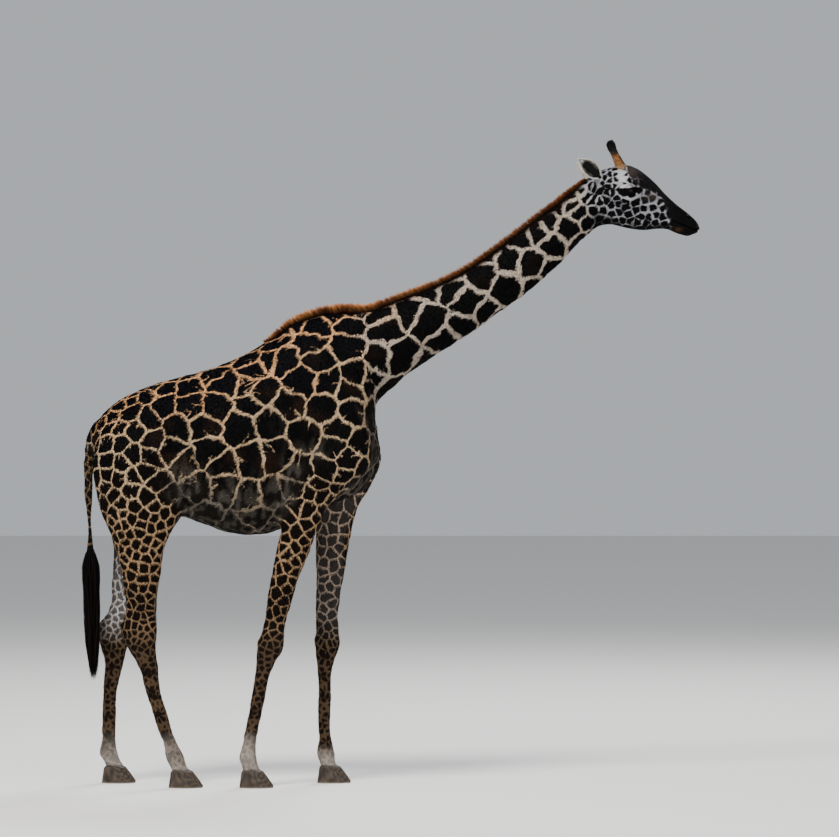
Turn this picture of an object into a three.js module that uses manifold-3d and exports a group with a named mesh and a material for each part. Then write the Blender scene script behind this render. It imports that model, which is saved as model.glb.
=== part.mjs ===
// A standing giraffe cow at life size, in millimetres: +Z up, she faces +X and her left side is +Y.
// She stands in a short stride with her neck stretched forward: the right forefoot and the left
// hind foot are set back. The body is lofted through named cross sections, parted with thin cuts
// into trunk, neck, head, jaw and legs, and dressed with ears, horns, eyes, hooves, mane and tail.
// Every outline is that of the coat's outer surface.

import * as THREE from 'three';
import { mergeVertices } from 'three/addons/utils/BufferGeometryUtils.js';
import Module from 'manifold-3d';

const wasm = await Module();
wasm.setup();

const CUT = 0.3;                       // gap left between two parts that meet
const CUT_PLACES = 0.003;              // the same gap, counted in sections along the body
const RIGHT = -1;                      // sign of Y on each side of the animal
const LEFT = 1;

// ---------------------------------------------------------------- driving dimensions

// Cross sections from the buttocks to the lips. Each one runs from a point on the back line to one
// on the belly line (x, z), `half` is its half width, `egg` above 0 makes it wider low down, and
// `square` is the exponent of its outline, 2 for an ellipse.
const BODY = [
  { at: 'buttocks', back: [-1736, 2062], belly: [-1742, 1962], half: 45, egg: 0, square: 2 },
  { at: 'tail root', back: [-1702, 2162], belly: [-1722, 1850], half: 128, egg: 0.05, square: 2.1 },
  { at: 'rump', back: [-1600, 2250], belly: [-1655, 1700], half: 206, egg: 0.05, square: 2.2 },
  { at: 'croup', back: [-1441, 2333], belly: [-1490, 1615], half: 262, egg: 0.1, square: 2.2 },
  { at: 'loin', back: [-1235, 2394], belly: [-1225, 1580], half: 300, egg: 0.16, square: 2.2 },
  { at: 'last rib', back: [-970, 2478], belly: [-985, 1492], half: 344, egg: 0.22, square: 2.2 },
  { at: 'girth', back: [-735, 2596], belly: [-780, 1466], half: 350, egg: 0.28, square: 2.15 },
  { at: 'behind the elbow', back: [-550, 2720], belly: [-580, 1530], half: 324, egg: 0.32, square: 2.1 },
  { at: 'withers', back: [-400, 2768], belly: [-370, 1640], half: 290, egg: 0.3, square: 2.1 },
  { at: 'brisket', back: [-305, 2778], belly: [-172, 1724], half: 256, egg: 0.2, square: 2.1 },
  { at: 'breast', back: [-242, 2781], belly: [-64, 1895], half: 238, egg: 0.12, square: 2 },
  { at: 'collar', back: [-188, 2783], belly: [-76, 2080], half: 212, egg: 0.1, square: 2 },
  { at: 'neck root', back: [-118, 2790], belly: [-92, 2212], half: 186, egg: 0.12, square: 2 },
  { at: 'low neck', back: [-30, 2822], belly: [32, 2352], half: 160, egg: 0.16, square: 2 },
  { at: 'lower third', back: [100, 2875], belly: [215, 2490], half: 138, egg: 0.16, square: 2 },
  { at: 'below mid neck', back: [270, 2940], belly: [405, 2610], half: 119, egg: 0.15, square: 2 },
  { at: 'mid neck', back: [470, 3043], belly: [600, 2745], half: 107, egg: 0.14, square: 2 },
  { at: 'above mid neck', back: [670, 3185], belly: [815, 2905], half: 99, egg: 0.13, square: 2 },
  { at: 'upper neck', back: [860, 3330], belly: [1010, 3072], half: 92, egg: 0.12, square: 2 },
  { at: 'top of neck', back: [1000, 3434], belly: [1118, 3188], half: 88, egg: 0.1, square: 2 },
  { at: 'nape', back: [1085, 3504], belly: [1172, 3240], half: 88, egg: 0.05, square: 2 },
  { at: 'poll', back: [1165, 3572], belly: [1216, 3268], half: 92, egg: 0, square: 2.1 },
  { at: 'ear base', back: [1248, 3620], belly: [1262, 3286], half: 98, egg: -0.1, square: 2.2 },
  { at: 'horn base', back: [1335, 3640], belly: [1312, 3289], half: 110, egg: -0.22, square: 2.2 },
  { at: 'brow', back: [1420, 3630], belly: [1366, 3276], half: 120, egg: -0.32, square: 2.25 },
  { at: 'eye corner', back: [1498, 3596], belly: [1432, 3262], half: 107, egg: -0.32, square: 2.2 },
  { at: 'cheek', back: [1560, 3545], belly: [1500, 3256], half: 84, egg: -0.24, square: 2.1 },
  { at: 'bridge', back: [1622, 3478], belly: [1566, 3264], half: 67, egg: -0.15, square: 2.1 },
  { at: 'nose', back: [1685, 3420], belly: [1630, 3262], half: 58, egg: -0.06, square: 2.2 },
  { at: 'nostrils', back: [1745, 3374], belly: [1682, 3240], half: 61, egg: 0.02, square: 2.3 },
  { at: 'upper lip', back: [1795, 3331], belly: [1732, 3227], half: 56, egg: 0.05, square: 2.3 },
  { at: 'lips', back: [1822, 3296], belly: [1780, 3231], half: 42, egg: 0, square: 2.2 },
  { at: 'lip tip', back: [1830, 3274], belly: [1812, 3244], half: 20, egg: 0, square: 2 },
];

// A leg's sections from the top down: height, middle (x, y), half depth fore and aft, half width.
// The foreleg is drawn standing square and the hind leg in the place of the right one.
const FORELEG = [
  { at: 'top of the shoulder blade', z: 2470, x: -330, y: 150, deep: 60, half: 58 },
  { at: 'shoulder blade', z: 2250, x: -312, y: 198, deep: 172, half: 94 },
  { at: 'point of the shoulder', z: 1950, x: -300, y: 202, deep: 244, half: 112 },
  { at: 'upper arm', z: 1760, x: -300, y: 202, deep: 190, half: 112 },
  { at: 'elbow', z: 1620, x: -322, y: 198, deep: 132, half: 97 },
  { at: 'top of the forearm', z: 1450, x: -335, y: 192, deep: 108, half: 81 },
  { at: 'forearm', z: 1250, x: -356, y: 184, deep: 90, half: 67 },
  { at: 'lower forearm', z: 1040, x: -370, y: 176, deep: 75, half: 58 },
  { at: 'above the knee', z: 900, x: -372, y: 174, deep: 71, half: 58 },
  { at: 'knee', z: 815, x: -374, y: 172, deep: 75, half: 65 },
  { at: 'below the knee', z: 730, x: -381, y: 170, deep: 60, half: 54 },
  { at: 'top of the cannon', z: 640, x: -386, y: 168, deep: 46, half: 42 },
  { at: 'cannon', z: 450, x: -386, y: 165, deep: 41, half: 37 },
  { at: 'above the fetlock', z: 255, x: -386, y: 163, deep: 43, half: 39 },
  { at: 'fetlock', z: 170, x: -383, y: 162, deep: 57, half: 53 },
  { at: 'pastern', z: 122, x: -370, y: 162, deep: 52, half: 52 },
  { at: 'coronet', z: 92, x: -358, y: 162, deep: 64, half: 62 },
];
const HINDLEG = [
  { at: 'point of the hip', z: 2235, x: -1450, y: 95, deep: 58, half: 45 },
  { at: 'hip', z: 2080, x: -1488, y: 152, deep: 190, half: 112 },
  { at: 'thigh', z: 1900, x: -1497, y: 176, deep: 236, half: 138 },
  { at: 'flank', z: 1720, x: -1476, y: 178, deep: 238, half: 140 },
  { at: 'stifle', z: 1600, x: -1450, y: 178, deep: 230, half: 128 },
  { at: 'below the stifle', z: 1500, x: -1452, y: 176, deep: 190, half: 108 },
  { at: 'top of the gaskin', z: 1400, x: -1455, y: 171, deep: 149, half: 90 },
  { at: 'gaskin', z: 1250, x: -1450, y: 164, deep: 117, half: 75 },
  { at: 'lower gaskin', z: 1100, x: -1450, y: 157, deep: 101, half: 62 },
  { at: 'above the hock', z: 1000, x: -1454, y: 152, deep: 100, half: 54 },
  { at: 'hock', z: 910, x: -1465, y: 148, deep: 110, half: 58 },
  { at: 'below the hock', z: 815, x: -1446, y: 147, deep: 88, half: 55 },
  { at: 'top of the cannon', z: 705, x: -1409, y: 148, deep: 58, half: 45 },
  { at: 'upper cannon', z: 600, x: -1386, y: 150, deep: 47, half: 40 },
  { at: 'cannon', z: 420, x: -1334, y: 153, deep: 43, half: 37 },
  { at: 'above the fetlock', z: 255, x: -1280, y: 156, deep: 45, half: 39 },
  { at: 'fetlock', z: 170, x: -1250, y: 158, deep: 58, half: 53 },
  { at: 'pastern', z: 122, x: -1230, y: 158, deep: 52, half: 52 },
  { at: 'coronet', z: 92, x: -1215, y: 158, deep: 64, half: 62 },
];

// How far each leg is swung along X from its drawn place, by height.
const SQUARE = [{ z: 0, by: 0 }, { z: 2500, by: 0 }];
const FORE_SWUNG_BACK = [
  { z: 0, by: -445 }, { z: 170, by: -445 }, { z: 815, by: -325 },
  { z: 1620, by: -175 }, { z: 1950, by: -50 }, { z: 2470, by: 0 },
];
const HIND_SWUNG_BACK = [
  { z: 0, by: -418 }, { z: 170, by: -415 }, { z: 930, by: -145 },
  { z: 1600, by: 0 }, { z: 2300, by: 0 },
];

// One claw of a hoof, from the coronet to the sole, measured from the middle of the foot.
const CLAW = [
  { at: 'coronet', z: 91.7, x: 2, deep: 62, half: 29 },
  { at: 'wall', z: 55, x: 14, deep: 79, half: 33 },
  { at: 'sole edge', z: 8, x: 27, deep: 99, half: 36 },
  { at: 'sole', z: 0, x: 27, deep: 97, half: 34.5 },
];
const CLAW_OFFSET = 37;                // middle of each claw from the middle of the foot

const TAIL = [
  { at: 'root', z: 2150, x: -1708, deep: 34, half: 34 },
  { at: 'bend', z: 2060, x: -1752, deep: 30, half: 29 },
  { at: 'below the bend', z: 1960, x: -1768, deep: 28, half: 26 },
  { at: 'dock', z: 1800, x: -1773, deep: 26, half: 23 },
  { at: 'thin dock', z: 1600, x: -1768, deep: 17, half: 16 },
  { at: 'end of the dock', z: 1400, x: -1760, deep: 12, half: 12 },
];
const TAIL_BRUSH = [
  { at: 'start', z: 1399.7, x: -1761, deep: 13, half: 13 },
  { at: 'shoulder', z: 1350, x: -1768, deep: 34, half: 28 },
  { at: 'widest', z: 1290, x: -1773, deep: 53, half: 40 },
  { at: 'neck', z: 1190, x: -1768, deep: 43, half: 37 },
  { at: 'middle', z: 1030, x: -1761, deep: 40, half: 34 },
  { at: 'lower', z: 850, x: -1753, deep: 36, half: 29 },
  { at: 'taper', z: 710, x: -1745, deep: 22, half: 19 },
  { at: 'tip', z: 588, x: -1740, deep: 5, half: 5 },
];

// The mane stands on the back line from behind the withers to the poll.
const MANE = {
  from: 'girth', to: 'poll', sunk: 26, narrowing: 0.25,
  heights: [
    { along: 0, rise: 22, half: 14 }, { along: 0.06, rise: 44, half: 24 },
    { along: 0.22, rise: 50, half: 26 }, { along: 0.4, rise: 42, half: 24 },
    { along: 0.6, rise: 34, half: 21 }, { along: 0.92, rise: 30, half: 17 },
    { along: 1, rise: 14, half: 9 },
  ],
};

const EYE = { x: 1408, z: 3487, radius: 24, proud: 5 };

// A horn's rings by their share of its length, from the flared foot to the knob.
const HORN = {
  foot: [1380, 44, 3585], tip: [1294, 62, 3776], stub: 10,
  rings: [
    { along: 0, radius: 38 }, { along: 0.14, radius: 34 }, { along: 0.25, radius: 28 },
    { along: 0.4, radius: 22 }, { along: 0.6, radius: 17.5 }, { along: 0.86, radius: 20 },
    { along: 0.96, radius: 15 },
  ],
};
// Rings of the hair round the knob by their height over the horn's tip, up to its point.
const HORN_TUFT = {
  point: 12,
  rings: [
    { up: -62, radius: 20 }, { up: -38, radius: 27 }, { up: -18, radius: 24 }, { up: 0, radius: 13.5 },
  ],
};

// An ear opens outwards; `stem` is its width at the root as a share of its widest, which lies at
// `widest` of its length, and the cup and the thickness fade towards the tip.
const EAR = {
  root: [1234, 80, 3564], tip: [1106, 168, 3666], opening: [0.4, 0.9, -0.12],
  halfWidth: 52, stem: 0.38, widest: 0.48, blunt: 0.006,
  cup: 22, cupFade: 0.6, thick: 5.5, thickFade: 0.35,
};
const NOSTRIL = { x: 1752, y: 51, z: 3330, deep: 15, high: 6, wide: 9 };

// The mouth from the lips to its corner, then behind the jaw bone to the throat (x, z).
const JAW_LINE = [[1860, 3262], [1790, 3262], [1715, 3290], [1650, 3318], [1600, 3336],
  [1520, 3350], [1430, 3380], [1345, 3420], [1300, 3380], [1275, 3310], [1268, 3200]];

// How finely each loft is faceted: rows along it and segments round it.
const FACETS = {
  trunk: [22, 24], neck: [12, 20], head: [24, 20], leg: [19, 12], claw: [3, 10],
  tail: [8, 8], brush: [10, 8], mane: [26, 6], ear: [7, 12],
};
const ROUND = { eye: 12, nostril: 8, horn: 10 };

// ---------------------------------------------------------------- materials

const FINISH = {
  coat: new THREE.MeshStandardMaterial({ color: 0x5d4632, roughness: 0.85, metalness: 0 }),
  face: new THREE.MeshStandardMaterial({ color: 0x6a6058, roughness: 0.85, metalness: 0 }),
  ear: new THREE.MeshStandardMaterial({ color: 0xb9b0a4, roughness: 0.9, metalness: 0 }),
  mane: new THREE.MeshStandardMaterial({ color: 0x8a4f22, roughness: 0.9, metalness: 0 }),
  blackHair: new THREE.MeshStandardMaterial({ color: 0x120f0e, roughness: 0.8, metalness: 0 }),
  hornSkin: new THREE.MeshStandardMaterial({ color: 0x7c6248, roughness: 0.8, metalness: 0 }),
  eye: new THREE.MeshStandardMaterial({ color: 0x0d0a09, roughness: 0.1, metalness: 0 }),
  hoof: new THREE.MeshStandardMaterial({ color: 0x3a3029, roughness: 0.55, metalness: 0 }),
};

// ---------------------------------------------------------------- lofting

/** A closed three.js geometry as a manifold solid, with its seams merged. */
function solidOf(geometry) {
  const bare = geometry.clone();
  bare.deleteAttribute('normal');
  bare.deleteAttribute('uv');
  const merged = mergeVertices(bare, 1e-3);
  return new wasm.Manifold(new wasm.Mesh({
    numProp: 3,
    vertProperties: new Float32Array(merged.attributes.position.array),
    triVerts: new Uint32Array(merged.index.array),
  }));
}

/** Piecewise linear value of rows[key] where rows[by] is `at`. */
function read(rows, by, at, key) {
  const next = rows.findIndex((row) => row[by] >= at);
  if (next === -1) return rows[rows.length - 1][key];
  if (next === 0) return rows[0][key];
  const [a, b] = [rows[next - 1], rows[next]];
  return THREE.MathUtils.mapLinear(at, a[by], b[by], a[key], b[key]);
}

/** A body lofted through sections: two edge points (x, z) each, and a half width across Y. */
class Loft {
  constructor(sections, edgeA, edgeB, middleY = () => 0) {
    const curve = (pick) => new THREE.CatmullRomCurve3(sections.map(pick), false, 'centripetal');
    this.names = sections.map((section) => section.at);
    this.last = sections.length - 1;
    this.a = curve((section) => new THREE.Vector3(edgeA(section)[0], middleY(section), edgeA(section)[1]));
    this.b = curve((section) => new THREE.Vector3(edgeB(section)[0], middleY(section), edgeB(section)[1]));
    this.shape = curve((s) => new THREE.Vector3(s.half, 100 * (s.egg ?? 0), 100 * (s.square ?? 2)));
  }

  /** Place of a named section along the loft, from 0 to this.last. */
  place(name) {
    return this.names.indexOf(name);
  }

  /** Surface point at place s and angle t, `reach` of the way out from the middle, `grow` larger. */
  point(s, t, reach = 1, grow = 0) {
    const a = this.a.getPoint(s / this.last);
    const b = this.b.getPoint(s / this.last);
    const { x: half, y: egg, z: square } = this.shape.getPoint(s / this.last);
    const [across, up] = [Math.sin(t), Math.cos(t)];
    const n = square / 100;
    const k = reach * (Math.abs(across) ** n + Math.abs(up) ** n) ** (-1 / n);
    const middle = a.clone().add(b).multiplyScalar(0.5);
    const arm = a.clone().sub(b).multiplyScalar(0.5);
    arm.setLength(arm.length() + grow);
    middle.addScaledVector(arm, k * up);
    middle.y -= (half + grow) * k * across * (1 - (egg / 100) * k * up);
    return middle;
  }

  /** The stretch between places `from` and `to` as a solid with flat ends. */
  solid(from, to, rows, segments, grow = 0) {
    const geometry = new THREE.CylinderGeometry(1, 1, 1, segments, rows);
    const position = geometry.attributes.position;
    const corner = new THREE.Vector3();
    for (let i = 0; i < position.count; i += 1) {
      corner.fromBufferAttribute(position, i);
      const s = from + (corner.y + 0.5) * (to - from);
      const reach = Math.hypot(corner.x, corner.z);
      const p = this.point(s, Math.atan2(corner.x, corner.z), reach, grow);
      position.setXYZ(i, p.x, p.y, p.z);
    }
    return solidOf(geometry);
  }
}

/** A loft of level sections that hang one below the other, as in a leg, a tail or a claw. */
function hanging(sections, { swing = SQUARE, side = 0, offset = [0, 0] } = {}) {
  const x = (section) => section.x + offset[0] + read(swing, 'z', section.z, 'by');
  const y = (section) => side * (section.y ?? 0) + offset[1];
  return new Loft(
    sections,
    (section) => [x(section) + section.deep, section.z],
    (section) => [x(section) - section.deep, section.z],
    y,
  );
}

/** A round piece turned about the line from `foot` to `tip`; the profile is (radius, distance). */
function turned(profile, foot, tip, segments) {
  const lathe = new THREE.LatheGeometry(profile.map(([r, d]) => new THREE.Vector2(r, d)), segments);
  const axis = new THREE.Vector3().subVectors(tip, foot).normalize();
  const turn = new THREE.Quaternion().setFromUnitVectors(new THREE.Vector3(0, 1, 0), axis);
  lathe.applyQuaternion(turn).translate(foot.x, foot.y, foot.z);
  return solidOf(lathe);
}

/** An ellipsoid with the given half axes. */
function ellipsoid(centre, halfAxes, segments) {
  const geometry = new THREE.SphereGeometry(1, segments, Math.round(segments * 0.7));
  geometry.scale(...halfAxes).translate(...centre);
  return solidOf(geometry);
}

const onSide = ([x, y, z], side) => new THREE.Vector3(x, side * y, z);

// ---------------------------------------------------------------- the sub-parts

const body = new Loft(BODY, (section) => section.back, (section) => section.belly);
const neckRoot = body.place('neck root');
const nape = body.place('nape');

/** Legs by name, each a loft in its own swing. */
const LEGS = {
  foreleg_right: hanging(FORELEG, { swing: FORE_SWUNG_BACK, side: RIGHT }),
  foreleg_left: hanging(FORELEG, { side: LEFT }),
  hindleg_right: hanging(HINDLEG, { side: RIGHT }),
  hindleg_left: hanging(HINDLEG, { swing: HIND_SWUNG_BACK, side: LEFT }),
};

/** A whole leg down to the coronet. */
function leg(name, grow = 0) {
  const loft = LEGS[name];
  return loft.solid(0, loft.last, ...FACETS.leg, grow);
}

/** The tail's dock, and the long hair below it. */
function tail(grow = 0) {
  const loft = hanging(TAIL);
  return loft.solid(0, loft.last, ...FACETS.tail, grow);
}

function tailBrush() {
  const loft = hanging(TAIL_BRUSH);
  return loft.solid(0, loft.last, ...FACETS.brush);
}

/** The body's stretches before anything is cut from them. */
const trunkForm = (grow = 0) => body.solid(0, neckRoot, ...FACETS.trunk, grow);
const neckForm = (grow = 0) => body.solid(neckRoot + CUT_PLACES, nape, ...FACETS.neck, grow);
const headForm = (grow = 0) => body.solid(nape + CUT_PLACES, body.last, ...FACETS.head, grow);

/** The trunk gives way to the legs, which keep their shoulders and thighs. */
function trunk() {
  let solid = trunkForm();
  Object.keys(LEGS).forEach((name) => { solid = solid.subtract(leg(name, CUT)); });
  return solid.subtract(tail(CUT));
}

/** The neck gives way to the shoulders that reach under its root. */
function neck() {
  let solid = neckForm();
  ['foreleg_right', 'foreleg_left'].forEach((name) => { solid = solid.subtract(leg(name, CUT)); });
  return solid;
}

/** The slab of space on the jaw's side of the mouth line. */
function jawSpace(gap) {
  const line = JAW_LINE.map(([x, z]) => new THREE.Vector2(x, z));
  const shape = new THREE.Shape([...line, new THREE.Vector2(1860, 3200)]);
  const across = 400;
  const slab = new THREE.ExtrudeGeometry(shape, { depth: across, bevelEnabled: false });
  slab.rotateX(Math.PI / 2).translate(0, across / 2, gap);
  return solidOf(slab);
}

/** An eye on one side, its ball proud of the cheek by EYE.proud. */
function eyeball(side, grow = 0) {
  const place = body.place('brow');
  const width = Math.abs(body.point(place, Math.PI * 0.44).y);
  const y = side * (width - EYE.radius + EYE.proud);
  const r = EYE.radius + grow;
  return ellipsoid([EYE.x, y, EYE.z], [r, r, r], ROUND.eye);
}

/** The skull's side of the head, with eye sockets and nostrils. */
function head() {
  let solid = headForm().subtract(jawSpace(CUT));
  [RIGHT, LEFT].forEach((side) => {
    const y = side * NOSTRIL.y;
    const halfAxes = [NOSTRIL.deep, NOSTRIL.wide, NOSTRIL.high];
    const slit = ellipsoid([NOSTRIL.x, y, NOSTRIL.z], halfAxes, ROUND.nostril);
    solid = solid.subtract(eyeball(side, CUT)).subtract(slit);
  });
  return solid;
}

function jaw() {
  return headForm().intersect(jawSpace(0));
}

/** A skin-covered horn that leans back from the brow. */
function horn(side, grow = 0) {
  const [foot, tip] = [onSide(HORN.foot, side), onSide(HORN.tip, side)];
  const length = foot.distanceTo(tip);
  const rings = HORN.rings.map(({ along, radius }) => [radius + grow, along * length]);
  return turned([[0, -HORN.stub], ...rings, [0, length + grow]], foot, tip, ROUND.horn);
}

/** The flame of black hair round a horn's knob. */
function hornTuft(side) {
  const [foot, tip] = [onSide(HORN.foot, side), onSide(HORN.tip, side)];
  const length = foot.distanceTo(tip);
  const rings = HORN_TUFT.rings.map(({ up, radius }) => [radius, length + up]);
  const profile = [[0, rings[0][1]], ...rings, [0, length + HORN_TUFT.point]];
  return turned(profile, foot, tip, ROUND.horn).subtract(horn(side, CUT));
}

/** A cupped leaf from the root to the tip, open outwards. */
function ear(side) {
  const [root, tip] = [onSide(EAR.root, side), onSide(EAR.tip, side)];
  const length = root.distanceTo(tip);
  const along = new THREE.Vector3().subVectors(tip, root).normalize();
  const opening = onSide(EAR.opening, side);
  opening.addScaledVector(along, -opening.dot(along)).normalize();
  const across = new THREE.Vector3().crossVectors(along, opening);
  const [rows, segments] = FACETS.ear;
  const geometry = new THREE.CylinderGeometry(1, 1, 1, segments, rows);
  const position = geometry.attributes.position;
  for (let i = 0; i < position.count; i += 1) {
    const [x, y, z] = [position.getX(i), position.getY(i), position.getZ(i)];
    const t = y + 0.5;                 // 0 at the root, 1 at the tip
    const swell = Math.sin(Math.PI * Math.min(1, (0.5 * t) / EAR.widest));
    const width = EAR.halfWidth * (EAR.stem + (1 - EAR.stem) * swell)
      * Math.sqrt(Math.max(EAR.blunt, 1 - t ** 4));
    const rise = EAR.cup * (1 - EAR.cupFade * t) * x * x + EAR.thick * z * (1 - EAR.thickFade * t);
    const p = root.clone().addScaledVector(along, t * length)
      .addScaledVector(across, width * x).addScaledVector(opening, rise);
    position.setXYZ(i, p.x, p.y, p.z);
  }
  return solidOf(geometry).subtract(headForm(CUT));
}

/** A fin of short upright hair that follows the back line. */
function mane() {
  const [from, to] = [body.place(MANE.from), body.place(MANE.to)];
  const [rows, segments] = FACETS.mane;
  const geometry = new THREE.CylinderGeometry(1, 1, 1, segments, rows);
  const position = geometry.attributes.position;
  for (let i = 0; i < position.count; i += 1) {
    const [x, y, z] = [position.getX(i), position.getY(i), position.getZ(i)];
    const along = y + 0.5;
    const s = (from + along * (to - from)) / body.last;
    const crest = body.a.getPoint(s);
    const tangent = body.a.getTangent(s);
    const out = new THREE.Vector3(-tangent.z, 0, tangent.x);
    const rise = read(MANE.heights, 'along', along, 'rise');
    const half = read(MANE.heights, 'along', along, 'half');
    const height = THREE.MathUtils.mapLinear(z, -1, 1, -MANE.sunk, rise);
    const p = crest.addScaledVector(out, height);
    position.setXYZ(i, p.x, -half * x * (1 - MANE.narrowing * z), p.z);
  }
  return solidOf(geometry).subtract(trunkForm(CUT)).subtract(neckForm(CUT)).subtract(headForm(CUT));
}

/** One claw of a hoof, flat on the ground. */
function claw(legName, inner) {
  const side = legName.endsWith('right') ? RIGHT : LEFT;
  const foot = LEGS[legName].point(LEGS[legName].last, 0, 0);
  const y = foot.y + side * (inner ? -CLAW_OFFSET : CLAW_OFFSET);
  const loft = hanging(CLAW, { offset: [foot.x, y] });
  return loft.solid(0, loft.last, ...FACETS.claw);
}

// ---------------------------------------------------------------- the animal

const giraffe = new THREE.Group();

/** Adds a solid to the animal as a named mesh. */
function add(name, solid, material) {
  const { numProp, vertProperties, triVerts } = solid.getMesh();
  const positions = new Float32Array((vertProperties.length / numProp) * 3);
  for (let i = 0; i < positions.length / 3; i += 1) {
    positions.set(vertProperties.subarray(i * numProp, i * numProp + 3), i * 3);
  }
  const geometry = new THREE.BufferGeometry();
  geometry.setAttribute('position', new THREE.BufferAttribute(positions, 3));
  geometry.setIndex(new THREE.BufferAttribute(new Uint32Array(triVerts), 1));
  geometry.computeVertexNormals();
  const mesh = new THREE.Mesh(geometry, material);
  mesh.name = name;
  giraffe.add(mesh);
}

add('trunk', trunk(), FINISH.coat);
add('neck', neck(), FINISH.coat);
add('head', head(), FINISH.face);
add('jaw', jaw(), FINISH.face);
add('mane', mane(), FINISH.mane);
add('tail', tail(), FINISH.coat);
add('tail_brush', tailBrush(), FINISH.blackHair);
Object.keys(LEGS).forEach((name) => {
  add(name, leg(name), FINISH.coat);
  add(`${name}_outer_claw`, claw(name, false), FINISH.hoof);
  add(`${name}_inner_claw`, claw(name, true), FINISH.hoof);
});
Object.entries({ right: RIGHT, left: LEFT }).forEach(([name, side]) => {
  add(`ear_${name}`, ear(side), FINISH.ear);
  add(`horn_${name}`, horn(side).subtract(headForm(CUT)), FINISH.hornSkin);
  add(`horn_tuft_${name}`, hornTuft(side), FINISH.blackHair);
  add(`eye_${name}`, eyeball(side), FINISH.eye);
});

// The origin is on the ground under the middle of the animal's length.
const box = new THREE.Box3().setFromObject(giraffe);
giraffe.position.set(-(box.min.x + box.max.x) / 2, -(box.min.y + box.max.y) / 2, -box.min.z);

export default giraffe;
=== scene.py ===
"""A life-size giraffe cow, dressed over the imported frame, in metres with +Z up.

She faces +X and her left side is +Y. The hide is one skin grown from lofted forms, sculpted and
then covered with short flat tufts that carry the same markings. Eyes, ears, horns, hooves, mane
and tail brush are pieces of their own.
"""

import logging
import math
from dataclasses import dataclass, field
from enum import Enum
from typing import Callable, Iterable, Sequence

import bmesh
import bpy
import numpy as np
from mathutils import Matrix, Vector


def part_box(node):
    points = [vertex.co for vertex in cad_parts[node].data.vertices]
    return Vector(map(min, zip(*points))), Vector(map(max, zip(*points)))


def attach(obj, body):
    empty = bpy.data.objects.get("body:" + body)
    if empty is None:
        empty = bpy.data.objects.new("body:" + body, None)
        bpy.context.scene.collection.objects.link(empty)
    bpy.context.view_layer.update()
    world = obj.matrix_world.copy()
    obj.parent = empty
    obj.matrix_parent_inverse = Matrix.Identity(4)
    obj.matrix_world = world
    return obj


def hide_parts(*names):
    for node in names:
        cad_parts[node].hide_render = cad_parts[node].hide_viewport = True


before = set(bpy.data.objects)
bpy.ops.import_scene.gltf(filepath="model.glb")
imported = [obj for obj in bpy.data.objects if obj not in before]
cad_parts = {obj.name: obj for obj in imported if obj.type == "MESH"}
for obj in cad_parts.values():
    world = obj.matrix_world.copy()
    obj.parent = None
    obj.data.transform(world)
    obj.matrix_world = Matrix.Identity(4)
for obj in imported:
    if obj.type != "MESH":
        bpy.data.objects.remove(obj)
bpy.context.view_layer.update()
LOG = logging.getLogger("giraffe")
BODY = "root"
Array = np.ndarray
Triple = tuple[float, float, float]
Table = tuple[tuple[float, ...], ...]
Mesh, Material = bpy.types.Mesh, bpy.types.Material


# ------------------------------------------------------------------ driving dimensions

COAT_DEPTH = 0.006  # how far the skin lies inside the tips of the coat
RIGHT, LEFT = -1, 1  # sign of Y on each side of the animal
SIDES = ((RIGHT, "right"), (LEFT, "left"))
UP = np.array([0.0, 0.0, 1.0])


def _centre(node: str) -> Array:
    """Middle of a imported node's box."""
    low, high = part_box(node)
    return (np.array(low) + np.array(high)) / 2


EYE_CENTRE = _centre("eye_left")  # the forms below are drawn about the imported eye
EYE_DRAWN_X = 1.408
SHIFT = EYE_CENTRE[0] - EYE_DRAWN_X  # from drawn X to the frame's X
EYE_RADIUS = 0.024

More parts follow.
